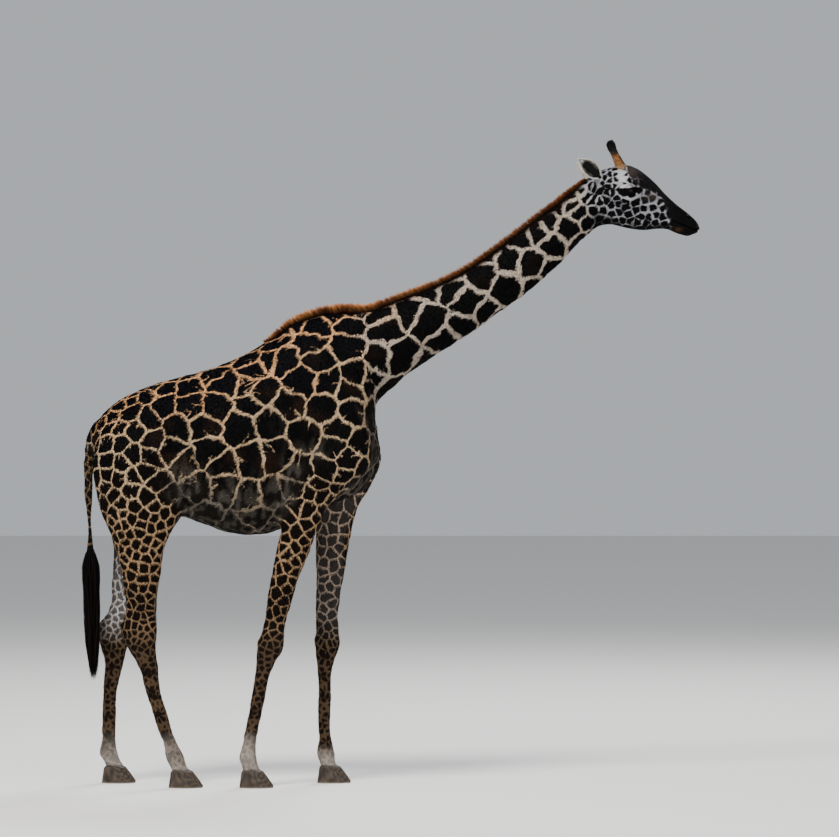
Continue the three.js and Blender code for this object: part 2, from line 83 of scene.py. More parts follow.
# Cross sections of the body from the buttocks to the lips: X and Z on the back line, X and Z on
# the belly line, half width, how much wider it is low down, and the exponent of its outline.
BODY_SECTIONS = (
    (-1.736, 2.062, -1.742, 1.962, 0.045, 0, 2),  # buttocks
    (-1.702, 2.162, -1.722, 1.850, 0.128, 0.05, 2.1),  # tail root
    (-1.600, 2.250, -1.655, 1.700, 0.206, 0.05, 2.2),  # rump
    (-1.441, 2.333, -1.490, 1.615, 0.262, 0.1, 2.2),  # croup
    (-1.235, 2.394, -1.225, 1.580, 0.300, 0.16, 2.2),  # loin
    (-0.970, 2.478, -0.985, 1.492, 0.344, 0.22, 2.2),  # last rib
    (-0.735, 2.596, -0.780, 1.466, 0.350, 0.28, 2.15),  # girth
    (-0.550, 2.720, -0.580, 1.530, 0.324, 0.32, 2.1),  # behind the elbow
    (-0.400, 2.768, -0.370, 1.640, 0.290, 0.3, 2.1),  # withers
    (-0.305, 2.778, -0.172, 1.724, 0.256, 0.2, 2.1),  # brisket
    (-0.242, 2.781, -0.064, 1.895, 0.238, 0.12, 2),  # breast
    (-0.188, 2.783, -0.076, 2.080, 0.212, 0.1, 2),  # collar
    (-0.118, 2.790, -0.092, 2.212, 0.186, 0.12, 2),  # neck root
    (-0.030, 2.822, 0.032, 2.352, 0.160, 0.16, 2),  # low neck
    (0.100, 2.875, 0.215, 2.490, 0.138, 0.16, 2),  # lower third
    (0.270, 2.940, 0.405, 2.610, 0.119, 0.15, 2),  # below mid neck
    (0.470, 3.043, 0.600, 2.745, 0.107, 0.14, 2),  # mid neck
    (0.670, 3.185, 0.815, 2.905, 0.099, 0.13, 2),  # above mid neck
    (0.860, 3.330, 1.010, 3.072, 0.092, 0.12, 2),  # upper neck
    (1.000, 3.434, 1.118, 3.188, 0.088, 0.1, 2),  # top of neck
    (1.085, 3.504, 1.172, 3.240, 0.088, 0.05, 2),  # nape
    (1.165, 3.572, 1.216, 3.268, 0.092, 0, 2.1),  # poll
    (1.248, 3.620, 1.262, 3.286, 0.098, -0.1, 2.2),  # ear base
    (1.335, 3.640, 1.312, 3.289, 0.110, -0.22, 2.2),  # horn base
    (1.420, 3.630, 1.366, 3.276, 0.120, -0.32, 2.25),  # brow
    (1.498, 3.596, 1.432, 3.262, 0.107, -0.32, 2.2),  # eye corner
    (1.560, 3.545, 1.500, 3.256, 0.084, -0.24, 2.1),  # cheek
    (1.622, 3.478, 1.566, 3.264, 0.067, -0.15, 2.1),  # bridge
    (1.685, 3.420, 1.630, 3.262, 0.058, -0.06, 2.2),  # nose
    (1.745, 3.374, 1.682, 3.240, 0.061, 0.02, 2.3),  # nostrils
    (1.795, 3.331, 1.732, 3.227, 0.056, 0.05, 2.3),  # upper lip
    (1.822, 3.296, 1.780, 3.231, 0.042, 0, 2.2),  # lips
    (1.830, 3.274, 1.812, 3.244, 0.020, 0, 2),  # lip tip
)
NECK_ROOT, NAPE, POLL, LIP_TIP = 12, 20, 21, 32  # places in that table

# A leg's level sections from the top down: height, middle X and Y, half depth, half width.
FORELEG = (
    (2.470, -0.330, 0.150, 0.060, 0.058), (2.250, -0.312, 0.198, 0.172, 0.094),
    (1.950, -0.300, 0.202, 0.244, 0.112), (1.760, -0.300, 0.202, 0.190, 0.112),
    (1.620, -0.322, 0.198, 0.132, 0.097), (1.450, -0.335, 0.192, 0.108, 0.081),
    (1.250, -0.356, 0.184, 0.090, 0.067), (1.040, -0.370, 0.176, 0.075, 0.058),
    (0.900, -0.372, 0.174, 0.071, 0.058), (0.815, -0.374, 0.172, 0.075, 0.065),
    (0.730, -0.381, 0.170, 0.060, 0.054), (0.640, -0.386, 0.168, 0.046, 0.042),
    (0.450, -0.386, 0.165, 0.041, 0.037), (0.255, -0.386, 0.163, 0.043, 0.039),
    (0.170, -0.383, 0.162, 0.057, 0.053), (0.122, -0.370, 0.162, 0.052, 0.052),
    (0.092, -0.358, 0.162, 0.064, 0.062),
)
HINDLEG = (
    (2.235, -1.450, 0.095, 0.058, 0.045), (2.080, -1.488, 0.152, 0.190, 0.112),
    (1.900, -1.497, 0.176, 0.236, 0.138), (1.720, -1.476, 0.178, 0.238, 0.140),
    (1.600, -1.450, 0.178, 0.230, 0.128), (1.500, -1.452, 0.176, 0.190, 0.108),
    (1.400, -1.455, 0.171, 0.149, 0.090), (1.250, -1.450, 0.164, 0.117, 0.075),
    (1.100, -1.450, 0.157, 0.101, 0.062), (1.000, -1.454, 0.152, 0.100, 0.054),
    (0.910, -1.465, 0.148, 0.110, 0.058), (0.815, -1.446, 0.147, 0.088, 0.055),
    (0.705, -1.409, 0.148, 0.058, 0.045), (0.600, -1.386, 0.150, 0.047, 0.040),
    (0.420, -1.334, 0.153, 0.043, 0.037), (0.255, -1.280, 0.156, 0.045, 0.039),
    (0.170, -1.250, 0.158, 0.058, 0.053), (0.122, -1.230, 0.158, 0.052, 0.052),
    (0.092, -1.215, 0.158, 0.064, 0.062),
)
# How far a leg is swung along X from its drawn place, by height.
SQUARE = ((0.0, 0.0), (2.5, 0.0))
FORE_SWUNG = ((0, -0.445), (0.170, -0.445), (0.815, -0.325), (1.620, -0.175), (1.950, -0.050), (2.470, 0))
HIND_SWUNG = ((0, -0.418), (0.170, -0.415), (0.930, -0.145), (1.600, 0), (2.300, 0))

# The tail's dock from its root down: height, middle X and Y, half depth, half width.
TAIL = (
    (2.150, -1.708, 0, 0.034, 0.034), (2.060, -1.752, 0, 0.030, 0.029),
    (1.960, -1.768, 0, 0.028, 0.026), (1.800, -1.773, 0, 0.026, 0.023),
    (1.600, -1.768, 0, 0.017, 0.016), (1.400, -1.760, 0, 0.012, 0.012),
)


# ------------------------------------------------------------------ small maths


def smoothstep(low: float, high: float, value: Array) -> Array:
    """0 below `low`, 1 above `high`, and 3k² - 2k³ between them."""
    k = np.clip((value - low) / (high - low), 0.0, 1.0)
    return k * k * (3.0 - 2.0 * k)


def unit(vectors: Array) -> Array:
    """The vectors at length one."""
    return vectors / np.maximum(np.linalg.norm(vectors, axis=-1, keepdims=True), 1e-9)


def read(table: Table, at: Array) -> Array:
    """A table of pairs read at each place, straight between its rows."""
    return np.interp(at, *np.array(table).T)


def batches(count: int, size: int = 20000) -> Iterable[slice]:
    """Slices that take `count` rows in turn."""
    return (slice(start, start + size) for start in range(0, count, size))


def mix(a: Array, b: Array, share: Array) -> Array:
    """a where `share` is 0 and b where it is 1, for rows of numbers or of vectors."""
    share = np.asarray(share)
    if np.ndim(share) and (np.ndim(a) > np.ndim(share) or np.ndim(b) > np.ndim(share)):
        share = share[..., None]
    return a * (1.0 - share) + b * share


def blend(a: Array, b: Array, share: Array) -> Array:
    """A colour for each share: a where it is 0 and b where it is 1."""
    share = np.asarray(share)[:, None]
    return a * (1.0 - share) + b * share


def tangent_to(normals: Array, vectors: Array) -> Array:
    """The part of each vector that lies in the surface, at length one."""
    return unit(vectors - normals * np.sum(vectors * normals, axis=-1, keepdims=True))


def srgb(red: int, green: int, blue: int) -> Array:
    """A colour given as 0 to 255 on a screen, in linear light."""
    c = np.array([red, green, blue]) / 255.0
    return np.where(c <= 0.04045, c / 12.92, ((c + 0.055) / 1.055) ** 2.4)


def tone(red: int, green: int, blue: int) -> Array:
    """A dataclass field that holds a screen colour in linear light."""
    return field(default_factory=lambda: srgb(red, green, blue))


class Ripple:
    """Smooth noise from -1 to 1: a sum of sine waves in seeded directions."""

    def __init__(self, wavelength: float, seed: int, waves: int = 9) -> None:
        """Draws the waves, whose lengths are about `wavelength`."""
        rng = np.random.default_rng(seed)
        spread = rng.uniform(0.7, 1.5, (waves, 1)) * 2 * math.pi / wavelength
        self.vectors = unit(rng.normal(size=(waves, 3))) * spread
        self.phases = rng.uniform(0, 2 * math.pi, waves)
        self.gain = math.sqrt(2.0 / waves)

    def at(self, points: Array) -> Array:
        """Value at each point: the sines of wave vector · point + phase, added and scaled."""
        return np.sin(points @ self.vectors.T + self.phases).sum(axis=1) * self.gain


class Curve:
    """A centripetal Catmull-Rom curve through rows of points, read by section number."""

    def __init__(self, points: Array) -> None:
        """Adds a mirrored point at each end, and works out the knot gaps."""
        p = np.asarray(points, float)
        self.points = np.vstack([2 * p[0] - p[1], p, 2 * p[-1] - p[-2]])
        gaps = np.sqrt(np.linalg.norm(np.diff(self.points, axis=0), axis=1))
        self.gaps = np.where(gaps < 1e-4, 1.0, gaps)
        self.last = len(p) - 1

    def at(self, places: Array) -> Array:
        """Points at fractional section numbers: the cubic whose end slopes are the non-uniform
        Catmull-Rom ones, each knot gap the square root of the distance between its points."""
        s = np.clip(np.asarray(places, float), 0, self.last)
        i = np.minimum(s.astype(int), self.last - 1)
        w = (s - i)[..., None]
        p0, p1, p2, p3 = (self.points[i + k] for k in range(4))
        d0, d1, d2 = (self.gaps[i + k][..., None] for k in range(3))
        m1 = ((p1 - p0) / d0 - (p2 - p0) / (d0 + d1) + (p2 - p1) / d1) * d1
        m2 = ((p2 - p1) / d1 - (p3 - p1) / (d1 + d2) + (p3 - p2) / d2) * d1
        bend = -3 * p1 + 3 * p2 - 2 * m1 - m2
        return p1 + m1 * w + bend * w ** 2 + (2 * p1 - 2 * p2 + m1 + m2) * w ** 3


# ------------------------------------------------------------------ lofted forms


class Loft:
    """A form carried through sections, each with two edge points and a half width across Y."""

    SAMPLES = 12  # places tried for each section when a point is looked up
    SCALE = np.array([1.0, 0.1, 0.1])  # of half width, egg and exponent, so that they curve alike

    def __init__(self, back: Array, belly: Array, shape: Array) -> None:
        """Takes each section's edge points, and its half width, egg and exponent."""
        self.back, self.belly = Curve(back), Curve(belly)
        self.shape = Curve(np.asarray(shape) * self.SCALE)
        self.last = self.back.last

    def section(self, s: Array) -> tuple[Array, Array, Array, Array, Array]:
        """Middle, half arm from middle to back, half width, egg and exponent at places s."""
        a, b, shape = self.back.at(s), self.belly.at(s), self.shape.at(s) / self.SCALE
        return (a + b) / 2, (a - b) / 2, shape[..., 0], shape[..., 1], shape[..., 2]

    def surface(self, s: Array, t: Array, grow: float | Array = 0.0) -> Array:
        """Point at place s and angle t: middle + k·up·arm across a superellipse, where
        k = (|sin t|^n + |cos t|^n)^(-1/n), its low side widened by `egg`, grown by `grow`."""
        middle, arm, half, egg, n = self.section(s)
        across, up = np.sin(t), np.cos(t)
        k = (np.abs(across) ** n + np.abs(up) ** n) ** (-1 / n)
        length = np.linalg.norm(arm, axis=-1)
        point = middle + arm * ((length + grow) / length * k * up)[..., None]
        point[..., 1] -= (half + grow) * k * across * (1 - egg * k * up)
        return point

    def tangent(self, s: Array) -> Array:
        """Direction in which the middle line runs at places s."""
        step = 0.02
        return unit(self.section(np.minimum(s + step, self.last))[0] - self.section(s - step)[0])

    def locate(self, points: Array) -> Array:
        """Place s whose slanted section passes through each point: the sampled section with the
        least distance from its plane, refined by three secant steps."""
        samples = np.linspace(0, self.last, self.last * self.SAMPLES + 1)
        middle, arm, _, _, _ = self.section(samples)
        length = np.linalg.norm(arm, axis=1)
        direction = arm / length[:, None]
        found = np.empty(len(points))
        for rows in batches(len(points)):
            dx, dz = (points[rows, axis, None] - middle[:, axis] for axis in (0, 2))
            off = np.abs(dx * direction[:, 2] - dz * direction[:, 0])
            along = np.abs(dx * direction[:, 0] + dz * direction[:, 2])
            cost = off + 2.0 * np.maximum(along - length * 1.08, 0)
            found[rows] = samples[np.argmin(cost, axis=1)]
        step = 0.5 / self.SAMPLES
        for _ in range(3):
            low, high = self._off(points, found - step), self._off(points, found + step)
            slope = (high - low) / (2 * step)
            slope = np.where(np.abs(slope) < 1e-4, 1e9, slope)
            found = np.clip(found - np.clip((low + high) / 2 / slope, -step, step), 0, self.last)
        return found

    def _off(self, points: Array, s: Array) -> Array:
        """Signed distance of each point from the plane of section s."""
        middle, arm, _, _, _ = self.section(s)
        d, arm = points - middle, unit(arm)
        return d[:, 0] * arm[:, 2] - d[:, 2] * arm[:, 0]

    def polar(self, points: Array, s: Array) -> tuple[Array, Array]:
        """Angle t round section s, and rough distance outside its outline."""
        middle, arm, half, egg, n = self.section(s)
        length = np.linalg.norm(arm, axis=-1)
        d = points - middle
        up = np.sum(d * arm, axis=-1) / length ** 2
        across = -d[:, 1] / (half * (1 - egg * np.clip(up, -1, 1)))
        reach = (np.abs(across) ** n + np.abs(up) ** n) ** (1 / n)
        angle = np.arctan2(across, up)
        return angle, (reach - 1) * np.hypot(half * np.sin(angle), length * np.cos(angle))


def body_loft() -> Loft:
    """The form from the buttocks to the lips."""
    t = np.array(BODY_SECTIONS)
    zero = np.zeros(len(t))
    back = np.column_stack([t[:, 0] + SHIFT, zero, t[:, 1]])
    belly = np.column_stack([t[:, 2] + SHIFT, zero, t[:, 3]])
    return Loft(back, belly, t[:, 4:7])


def hanging_loft(sections: Table, swing: Table = SQUARE, side: int = 0) -> Loft:
    """A form of level sections one below the other, as in a leg or the tail."""
    z, x, y, deep, half = np.array(sections).T
    x = x + read(swing, z) + SHIFT
    front, rear = (np.column_stack([x + sign * deep, side * y, z]) for sign in (1, -1))
    return Loft(front, rear, np.column_stack([half, np.zeros(len(z)), np.full(len(z), 2.0)]))


class Limb(Enum):
    """The legs, each with its sections, its swing and its side."""

    FORE_RIGHT = (FORELEG, FORE_SWUNG, RIGHT)
    FORE_LEFT = (FORELEG, SQUARE, LEFT)
    HIND_RIGHT = (HINDLEG, SQUARE, RIGHT)
    HIND_LEFT = (HINDLEG, HIND_SWUNG, LEFT)

    @property
    def node(self) -> str:
        """Name of the leg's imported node."""
        end, side = self.name.lower().split("_")
        return f"{end}leg_{side}"

    @property
    def side(self) -> int:
        """Sign of Y on the leg's side."""
        return self.value[2]


class LevelLoft:
    """A hanging loft that can be read by height, for points near a leg or the tail."""

    def __init__(self, loft: Loft) -> None:
        """Reads the loft at many places and puts them in order of height."""
        self.loft = loft
        middle, arm, half, _, _ = loft.section(np.linspace(0, loft.last, loft.last * 20 + 1))
        order = np.argsort(middle[:, 2])
        self.z = middle[order, 2]
        self.rows = np.column_stack([middle[order, :2], arm[order, 0], half[order]])

    def at(self, z: Array) -> tuple[Array, Array, Array, Array]:
        """Middle X, middle Y, half depth and half width at heights z."""
        return tuple(np.interp(z, self.z, column) for column in self.rows.T)

    def polar(self, points: Array) -> tuple[Array, Array]:
        """Angle round the form, 0 at its front edge, and rough distance outside its surface."""
        x, y, deep, half = self.at(points[:, 2])
        forward, across = (points[:, 0] - x) / deep, -(points[:, 1] - y) / half
        angle = np.arctan2(across, forward)
        radius = np.hypot(deep * np.cos(angle), half * np.sin(angle))
        beyond = np.maximum(points[:, 2] - self.z[-1], self.z[0] - points[:, 2])
        return angle, np.maximum((np.hypot(forward, across) - 1) * radius, beyond)

    def onto(self, points: Array, grow: float) -> Array:
        """The points moved level onto the surface, grown by `grow`."""
        x, y, deep, half = self.at(points[:, 2])
        angle, _ = self.polar(points)
        return np.column_stack([x + (deep + grow) * np.cos(angle), y - (half + grow) * np.sin(angle),
                                points[:, 2]])


@dataclass
class Fields:
    """What is known of each point of the hide, as rows of numbers."""

    points: Array
    s: Array  # place along the body's sections
    angle: Array  # angle round the body, 0 on the back line
    body: Array  # distance outside the body's form
    limb: Array  # number of the nearest leg
    limb_angle: Array  # angle round it, 0 at its front edge
    limb_gap: Array  # distance outside it
    tail: Array  # distance outside the tail

    @property
    def on_limb(self) -> Array:
        """1 on a leg, 0 on the body, with a soft change where they meet."""
        return smoothstep(-0.03, 0.05, self.body - self.limb_gap)

    @property
    def on_tail(self) -> Array:
        """1 on the tail's dock."""
        return smoothstep(0.0, 0.01, np.minimum(self.body, self.limb_gap) - self.tail)

    @property
    def side(self) -> Array:
        """Sign of Y."""
        return np.where(self.points[:, 1] < 0, RIGHT, LEFT)

    @property
    def drawn(self) -> tuple[Array, Array, Array]:
        """X as it is drawn, Y without its sign, and Z."""
        return self.points[:, 0] - SHIFT, np.abs(self.points[:, 1]), self.points[:, 2]


class Anatomy:
    """All the lofted forms of the animal, and where a point lies on them."""

    def __init__(self) -> None:
        """Draws the forms."""
        self.body = body_loft()
        self.limbs = [LevelLoft(hanging_loft(*limb.value)) for limb in Limb]
        self.tail = LevelLoft(hanging_loft(TAIL))

    def fields(self, points: Array, s: Array | None = None) -> Fields:
        """Looks the points up on every form.

        Args:
            points: rows of X, Y, Z.
            s: places along the body where they are known already.

        Returns:
            The fields of each point.
        """
        s = self.body.locate(points) if s is None else s
        angle, gap = self.body.polar(points, s)
        angles, gaps = (np.array(rows) for rows in zip(*(form.polar(points) for form in self.limbs)))
        nearest = np.argmin(gaps, axis=0)
        own = nearest, np.arange(len(points))
        return Fields(points, s, angle, gap, nearest, angles[own], gaps[own], self.tail.polar(points)[1])

    def unwrap(self, f: Fields) -> Array:
        """Place of each point on a flat unwrap of the hide: the body's island has its length along
        U and its girth along V, and below it each leg and the tail has a column of its own."""
        low = 0.02 + 0.15 * f.points[:, 2]
        body = np.column_stack([0.02 + 0.96 * f.s / self.body.last, 0.71 + 0.27 * f.angle / math.pi])
        limb = np.column_stack([0.11 + 0.2 * f.limb + 0.09 * f.limb_angle / math.pi, low])
        tail = np.column_stack([0.9 + 0.8 * f.points[:, 1], low])
        flat = np.where((f.limb_gap < f.body)[:, None], limb, body)
        return np.where((f.tail < np.minimum(f.limb_gap, f.body))[:, None], tail, flat)


# ------------------------------------------------------------------ meshes


@dataclass
class Shape:
    """Points and faces of a piece before it becomes a mesh; each face array is one face size."""

    points: Array
    faces: list[Array]
    colours: Array | None = None  # a colour for each point
    atlas: Array | None = None  # a place on the hide's unwrap for each point

    def outward(self) -> "Shape":
        """The shape with its faces turned outwards, by the sign of its volume."""
        volume = 0.0
        for group in self.faces:
            a = self.points[group[:, 0]]
            for b, c in zip(group.T[1:-1], group.T[2:]):
                volume += np.einsum("ij,ij->", a, np.cross(self.points[b], self.points[c]))
        if volume < 0:
            self.faces = [group[:, ::-1] for group in self.faces]
        return self


def joined(shapes: Iterable[Shape]) -> Shape:
    """Several shapes as one, which has colours and an atlas where all of them have."""
    shapes = list(shapes)
    offsets = np.cumsum([0] + [len(shape.points) for shape in shapes])
    faces = [group + offset for shape, offset in zip(shapes, offsets) for group in shape.faces]
    rows = [[getattr(shape, key) for shape in shapes] for key in ("points", "colours", "atlas")]
    points, colours, atlas = (None if any(r is None for r in row) else np.vstack(row) for row in rows)
    return Shape(points, faces, colours, atlas)


def tube(grid: Array, colours: Array | None = None) -> Shape:
    """A closed shape from rows of rings (row, column, XYZ): quads between rings, and each end
    closed by a fan about its ring's middle."""
    rows, columns, _ = grid.shape
    index = np.arange(rows * columns).reshape(rows, columns)
    after = np.roll(index, -1, axis=1)
    quads = np.stack([index[:-1], after[:-1], after[1:], index[1:]], axis=-1).reshape(-1, 4)
    first = np.full(columns, rows * columns)
    ends = ((after[0], index[0], first), (index[-1], after[-1], first + 1))
    fans = [np.stack(end, axis=-1) for end in ends]
    points = np.vstack([grid.reshape(-1, 3), grid[0].mean(axis=0), grid[-1].mean(axis=0)])
    if colours is not None:
        colours = colours.reshape(-1, 3)
        colours = np.vstack([colours, colours[:columns].mean(axis=0), colours[-columns:].mean(axis=0)])
    return Shape(points, [quads, np.vstack(fans)], colours).outward()


def new_mesh(name: str, shape: Shape) -> Mesh:
    """A smooth-shaded mesh filled from whole arrays, with its tint and its unwrap if it has them."""
    mesh = bpy.data.meshes.new(name)
    mesh.vertices.add(len(shape.points))
    mesh.vertices.foreach_set("co", shape.points.astype(np.float32).ravel())
    loops = np.concatenate([group.ravel() for group in shape.faces])
    sizes = np.concatenate([np.full(len(group), group.shape[1]) for group in shape.faces])
    mesh.loops.add(len(loops))
    mesh.loops.foreach_set("vertex_index", loops.astype(np.int32))
    mesh.polygons.add(len(sizes))
    mesh.polygons.foreach_set("loop_start", (np.cumsum(sizes) - sizes).astype(np.int32))
    mesh.polygons.foreach_set("use_smooth", np.ones(len(sizes), bool))
    mesh.update(calc_edges=True)
    mesh.validate()
    if shape.colours is not None:
        set_colour(mesh, "tint", shape.colours)
    if shape.atlas is not None:
        layer = mesh.uv_layers.new(name="OFBake")
        layer.data.foreach_set("uv", shape.atlas[loops].astype(np.float32).ravel())
    return mesh


def set_colour(mesh: Mesh, name: str, colours: Array) -> None:
    """Stores a linear colour for each point of the mesh."""
    rgba = np.column_stack([colours, np.ones(len(colours))]).astype(np.float32)
    mesh.color_attributes.new(name, "FLOAT_COLOR", "POINT").data.foreach_set("color", rgba.ravel())


def set_number(mesh: Mesh, name: str, values: Array) -> None:
    """Stores a number for each point of the mesh."""
    mesh.attributes.new(name, "FLOAT", "POINT").data.foreach_set("value", values.astype(np.float32))


def set_vector(mesh: Mesh, name: str, values: Array, domain: str) -> None:
    """Stores a vector for each point or face of the mesh."""
    layer = mesh.attributes.new(name, "FLOAT_VECTOR", domain)
    layer.data.foreach_set("vector", values.astype(np.float32).ravel())


def read_points(mesh: Mesh, kind: str = "co") -> Array:
    """The mesh's points, or its point normals with kind="normal"."""
    out = np.empty(len(mesh.vertices) * 3, np.float32)
    mesh.vertices.foreach_get(kind, out)
    return out.reshape(-1, 3).astype(float)


def read_indices(items: bpy.types.bpy_prop_collection, kind: str, each: int = 1) -> Array:
    """Whole numbers of the mesh's loops, edges or faces, `each` of them for one."""
    out = np.empty(len(items) * each, np.int32)
    items.foreach_get(kind, out)
    return out


def write_points(mesh: Mesh, points: Array) -> None:
    """Moves the mesh's points."""
    mesh.vertices.foreach_set("co", points.astype(np.float32).ravel())
    mesh.update()


class Slot(Enum):
    """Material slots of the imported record."""

    COAT = "coat"
    FACE = "face"
    EAR = "ear"
    MANE = "mane"
    BLACK_HAIR = "black_hair"
    HORN_SKIN = "horn_skin"
    EYE = "eye"
    HOOF = "hoof"


def place(name: str, mesh: Mesh, material: Material, slot: Slot, *nodes: str) -> None:
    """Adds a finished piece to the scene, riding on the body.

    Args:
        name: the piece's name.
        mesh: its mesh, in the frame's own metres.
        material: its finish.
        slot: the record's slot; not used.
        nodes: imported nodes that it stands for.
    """
    piece = bpy.data.objects.new(name, mesh)
    bpy.context.scene.collection.objects.link(piece)
    mesh.materials.append(material)
    if nodes:
        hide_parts(*nodes)
    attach(piece, BODY)
    mesh.calc_loop_triangles()
    LOG.info("%s: %d triangles", name, len(mesh.loop_triangles))


# ------------------------------------------------------------------ the skin's relief


@dataclass(frozen=True)
class Swell:
    """A soft bump or hollow on both sides: its height times exp(-|(p - centre) / reach|²)."""

    name: str
    centre: Triple
    reach: Triple
    height: float

    def at(self, points: Array) -> Array:
        """Height at each point, whose Y is counted from the middle."""
        return self.height * np.exp(-np.sum(((points - self.centre) / self.reach) ** 2, axis=1))


@dataclass(frozen=True)
class Ridge:
    """A ridge or furrow along a line of points, on both sides: height times exp(-(d / width)²)."""

    name: str
    line: Table
    width: float
    height: float

    def at(self, points: Array) -> Array:
        """Height at each point, whose Y is counted from the middle."""
        return self.height * np.exp(-(distance_to_line(points, np.array(self.line)) / self.width) ** 2)


def distance_to_line(points: Array, line: Array) -> Array:
    """Distance of each point from the nearest stretch of a line of straight pieces."""
    best = np.full(len(points), np.inf)
    for a, b in zip(line[:-1], line[1:]):
        along = b - a
        k = np.clip((points - a) @ along / (along @ along), 0, 1)
        best = np.minimum(best, np.linalg.norm(points - a - k[:, None] * along, axis=1))
    return best


RELIEF = (
    Swell("point of the hip", (-1.245, 0.255, 2.215), (0.075, 0.09, 0.065), 0.014),
    Swell("flank hollow", (-1.17, 0.30, 2.08), (0.11, 0.12, 0.14), -0.012),
    Swell("point of the shoulder", (-0.100, 0.20, 1.900), (0.09, 0.10, 0.09), 0.010),
    Swell("triceps", (-0.44, 0.32, 1.86), (0.12, 0.12, 0.16), 0.012),
    Swell("behind the shoulder", (-0.585, 0.33, 2.02), (0.07, 0.12, 0.30), -0.014),
    Swell("in front of the shoulder", (-0.10, 0.22, 2.20), (0.06, 0.10, 0.16), -0.009),
    Swell("point of the buttock", (-1.70, 0.11, 2.02), (0.06, 0.07, 0.08), 0.010),
    Swell("stifle", (-1.235, 0.26, 1.665), (0.07, 0.10, 0.10), 0.010),
    Swell("thigh", (-1.50, 0.33, 1.93), (0.15, 0.10, 0.18), 0.008),
    Swell("groin", (-1.28, 0.10, 1.60), (0.10, 0.08, 0.06), 0.012),
    Swell("sternum", (-0.42, 0.00, 1.60), (0.16, 0.05, 0.08), 0.008),
    Swell("front of the knee", (-0.305, 0.172, 0.812), (0.04, 0.05, 0.055), 0.007),
    Swell("back of the knee", (-0.445, 0.172, 0.845), (0.03, 0.03, 0.030), 0.008),
    Swell("inside of the knee", (-0.374, 0.105, 0.815), (0.04, 0.03, 0.05), 0.004),
    Swell("point of the hock", (-1.585, 0.148, 0.955), (0.035, 0.04, 0.045), 0.012),
    Swell("hollow above the hock", (-1.520, 0.148, 1.075), (0.04, 0.09, 0.08), -0.010),
    Swell("side of the hock", (-1.455, 0.210, 0.880), (0.045, 0.03, 0.05), 0.004),
    Ridge("shoulder blade", ((-0.36, 0.20, 2.58), (-0.20, 0.27, 2.22), (-0.11, 0.27, 1.98)), 0.040, 0.009),
    Ridge("upper arm", ((-0.11, 0.27, 1.93), (-0.40, 0.31, 1.68)), 0.055, 0.008),
    Ridge("thigh furrow", ((-1.62, 0.26, 2.02), (-1.60, 0.26, 1.75), (-1.53, 0.22, 1.48)), 0.030, -0.008),
    Ridge("fore thigh", ((-1.25, 0.27, 2.17), (-1.28, 0.29, 1.95), (-1.24, 0.27, 1.70)), 0.035, 0.009),
    Ridge("flank fold", ((-1.225, 0.28, 1.92), (-1.215, 0.25, 1.70), (-1.18, 0.20, 1.57)), 0.022, -0.010),
    Ridge("backbone", ((-1.62, 0.0, 2.26), (-1.235, 0.0, 2.40), (-0.735, 0.0, 2.61)), 0.030, 0.008),
    Ridge("neck furrow", ((-0.02, 0.14, 2.42), (0.46, 0.10, 2.72), (1.04, 0.08, 3.19)), 0.030, -0.008),
    Ridge("windpipe", ((0.03, 0.0, 2.34), (0.405, 0.0, 2.60), (1.01, 0.0, 3.06)), 0.045, 0.005),
    Ridge("rear tendon", ((-0.435, 0.165, 0.66), (-0.428, 0.163, 0.30)), 0.014, 0.005),
    Ridge("cannon furrow", ((-0.408, 0.128, 0.66), (-0.405, 0.124, 0.30)), 0.010, -0.004),
    Ridge("outer cannon furrow", ((-0.408, 0.205, 0.66), (-0.405, 0.203, 0.30)), 0.010, -0.004),
    Ridge("hock tendon", ((-1.54, 0.155, 1.20), (-1.585, 0.148, 0.97)), 0.018, 0.008),
    Ridge("hind tendon", ((-1.47, 0.148, 0.72), (-1.33, 0.156, 0.30)), 0.014, 0.005),
    Ridge("cheek bone", ((1.375, 0.112, 3.438), (1.46, 0.100, 3.428), (1.58, 0.070, 3.375)), 0.014, 0.006),
    Ridge("jaw bone", ((1.30, 0.078, 3.335), (1.42, 0.072, 3.290), (1.60, 0.05, 3.268)), 0.018, 0.004),
    Ridge("under the cheek bone", ((1.46, 0.09, 3.395), (1.60, 0.06, 3.345)), 0.014, -0.004),
    Ridge("brow ridge", ((1.355, 0.108, 3.530), (1.41, 0.118, 3.534), (1.47, 0.104, 3.515)), 0.015, 0.009),
    Swell("tear hollow", (1.482, 0.092, 3.470), (0.024, 0.03, 0.018), -0.006),
    Swell("temple", (1.330, 0.098, 3.520), (0.030, 0.03, 0.026), -0.007),
    Swell("cheek", (1.360, 0.100, 3.385), (0.055, 0.04, 0.050), 0.006),
    Swell("forehead boss", (1.452, 0.0, 3.620), (0.050, 0.045, 0.04), 0.009),
    Swell("horn collar", (1.378, 0.046, 3.628), (0.040, 0.032, 0.03), 0.012),
    Swell("ramp before the horns", (1.415, 0.030, 3.630), (0.030, 0.040, 0.03), 0.006),
    Swell("ear root", (1.225, 0.085, 3.555), (0.034, 0.03, 0.032), 0.010),
    Swell("throat", (1.245, 0.0, 3.262), (0.04, 0.05, 0.03), -0.008),
    Swell("nose wing", (1.757, 0.055, 3.345), (0.030, 0.02, 0.018), 0.006),
    Swell("chin", (1.755, 0.0, 3.228), (0.030, 0.03, 0.012), 0.005),
)


